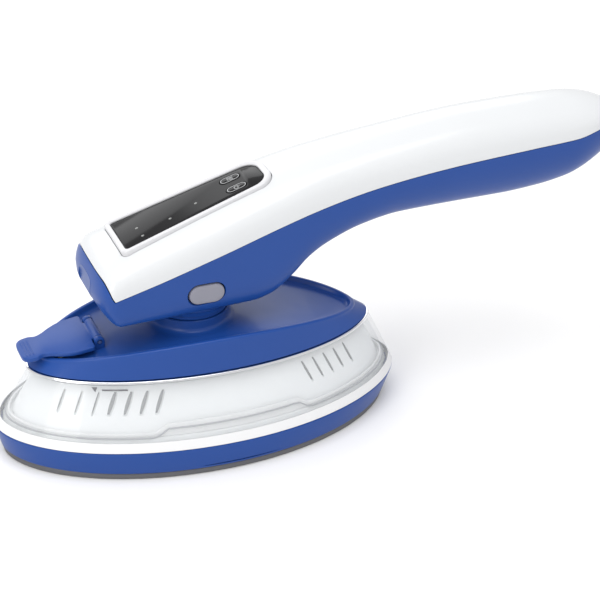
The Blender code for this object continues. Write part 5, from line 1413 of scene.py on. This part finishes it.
@dataclass
class ReleaseButton:
    """One release button: a soft-edged pill on its flange, stem and tooth."""

    side: Side
    centre_x: float = -0.0045
    height: float = 0.0805
    size: Flat = (0.0170, 0.0095)
    face_y: float = 0.0256
    seat_y: float = 0.0204
    crown_inner: float = 0.0141
    crown_foot: float = 0.0707
    crown_top: float = 0.0771
    stem_width: float = 0.0044
    tooth_width: float = 0.0018

    def block(self, name: str, width: float, near: float, far: float, low: float, high: float) -> Thing:
        """Make a block across the button's axis between two distances and two heights."""
        half = width / 2
        corners = [(self.centre_x - half, low), (self.centre_x + half, low), (self.centre_x + half, high),
                   (self.centre_x - half, high)]
        rings = [upright(corners, self.side.value * y) for y in (near, far)]
        return eased(loft(name, rings), 0.0002, 2)

    def face(self, grow: float, distance: float) -> Ring:
        """Return the button's pill, grown, at a distance from the middle."""
        length, width = self.size
        return [(self.centre_x + x, self.side.value * distance, self.height + z)
                for x, z in pill(length + grow, width + grow)]

    def build(self) -> None:
        """Build and dress the button."""
        name = "left" if self.side is Side.NEAR else "right"
        levels = [(0.0, self.seat_y - 0.0008), (0.0, self.face_y - 0.0011), (-0.0002, self.face_y - 0.0006),
                  (-0.0007, self.face_y - 0.0002), (-0.0016, self.face_y), (-0.0045, self.face_y)]
        cap = loft(f"release_pill_{name}", [self.face(grow, y) for grow, y in levels])
        flange = [self.face(0.0030, self.seat_y), self.face(0.0030, self.seat_y - 0.0016)]
        stem_end, arm_out = 0.0124, self.crown_inner - 0.0006
        stem_foot, tooth_foot = self.crown_top + 0.0012, self.crown_foot + 0.0032
        merge(cap, Merge.JOIN, loft("release_flange", flange))
        stem_out = self.seat_y - 0.0006
        stem = self.block("stem", self.stem_width, stem_end, stem_out, stem_foot, stem_foot + 0.0040)
        arm = self.block("arm", self.stem_width, stem_end, arm_out, tooth_foot, stem_foot + 0.0020)
        merge(cap, Merge.JOIN, stem)
        merge(cap, Merge.JOIN, arm)
        merge(cap, Merge.JOIN, self.block("tooth", self.tooth_width, arm_out - 0.0012,
                                          self.crown_inner + 0.0011, tooth_foot, tooth_foot + 0.0022))
        body = Body.RELEASE_LEFT if self.side is Side.NEAR else Body.RELEASE_RIGHT
        dress(cap, GREY, body, [f"release_button_{name}"])


# ---------------------------------------------------------------- carried-over nodes and the room
@dataclass
class InnerParts:
    """Finishes of the nodes that keep their own shape."""

    def build(self) -> None:
        """Give every node the finish of its slot."""
        by_slot = {finish.slot: finish for finish in FINISHES}
        for row in frame["record"]["subparts"]:
            node = frame["nodes"][row["node"]]
            finish = by_slot[row["material_slot"]]
            if not node.material_slots:
                node.data.materials.append(finish.material())
            for place in node.material_slots:
                place.material = finish.material()
            log.info("%s keeps its shape in %s", row["node"], finish.name)


@dataclass
class Studio:
    """Floor, soft lights and camera."""

    camera_place: Point = (-0.23449, -0.68435, 0.47383)
    camera_right: Point = (0.92856, -0.37003, 0.02911)
    camera_up: Point = (0.15900, 0.46741, 0.86962)
    lens: float = 106.64
    floor_reach: float = 8.0
    floor_height: float = -0.0001

    def light(self, name: str, place: Point, aim: Point, size: Flat, power: float, colour: Colour) -> None:
        """Add a soft box.

        Args:
            name: Light name.
            place: Where it stands.
            aim: Where it points.
            size: Its two sides.
            power: Its power in watts.
            colour: Its colour.
        """
        data = bpy.data.lights.new(name, "AREA")
        data.shape = "RECTANGLE"
        data.size, data.size_y = size
        data.energy = power
        data.color = colour
        lamp = bpy.data.objects.new(name, data)
        lamp.location = place
        lamp.rotation_euler = (Vector(aim) - Vector(place)).to_track_quat("-Z", "Y").to_euler()
        bpy.context.scene.collection.objects.link(lamp)

    def build(self) -> None:
        """Build the floor, the lights, the pale surroundings and the camera."""
        reach = self.floor_reach
        corners = [(-reach, -reach), (reach, -reach), (reach, reach), (-reach, reach)]
        ground = solid("studio_floor", level(corners, self.floor_height), [[0, 1, 2, 3]])
        ground.data.materials.append(FLOOR.material())
        world = bpy.data.worlds.new("pale_room")
        world.use_nodes = True
        sky = world.node_tree.nodes["Background"]
        sky.inputs["Color"].default_value = (1.0, 1.0, 1.0, 1.0)
        sky.inputs["Strength"].default_value = 0.78
        bpy.context.scene.world = world
        bpy.context.scene.view_settings.view_transform = "Standard"
        self.light("top_soft_box", (-0.2, -0.3, 1.5), (0.03, 0.0, 0.05), (1.4, 1.0), 14.0, (1.0, 1.0, 1.0))
        self.light("side_soft_box", (-1.1, -0.9, 0.7), (0.03, 0.0, 0.06), (0.6, 0.9), 6.0, (1.0, 0.99, 0.98))
        self.light("back_soft_box", (0.0, 1.35, 0.795), (0.03, 0.0, 0.10), (1.9, 0.5), 5.0, (0.98, 0.99, 1.0))
        data = bpy.data.cameras.new("camera")
        data.lens = self.lens
        data.sensor_width = 36.0
        data.clip_start = 0.05
        camera = bpy.data.objects.new("camera", data)
        right, up = Vector(self.camera_right), Vector(self.camera_up)
        turn = Matrix((right, up, right.cross(up))).transposed().to_4x4()
        camera.matrix_world = Matrix.Translation(self.camera_place) @ turn
        bpy.context.scene.collection.objects.link(camera)
        bpy.context.scene.camera = camera


def main() -> None:
    """Build the whole steamer and its surroundings."""
    logging.basicConfig(level=logging.INFO, format="%(name)s %(message)s")
    Studio().build()
    InnerParts().build()
    lines = HeadLines()
    Base(lines).build()
    Tank(lines).build()
    Cover(lines).build()
    Flap().build()
    panel = KeyPanel()
    Grip(HandleLines(), panel).build()
    panel.build()
    for side in Side:
        ReleaseButton(side).build()


if __name__ == "__main__":
    main()
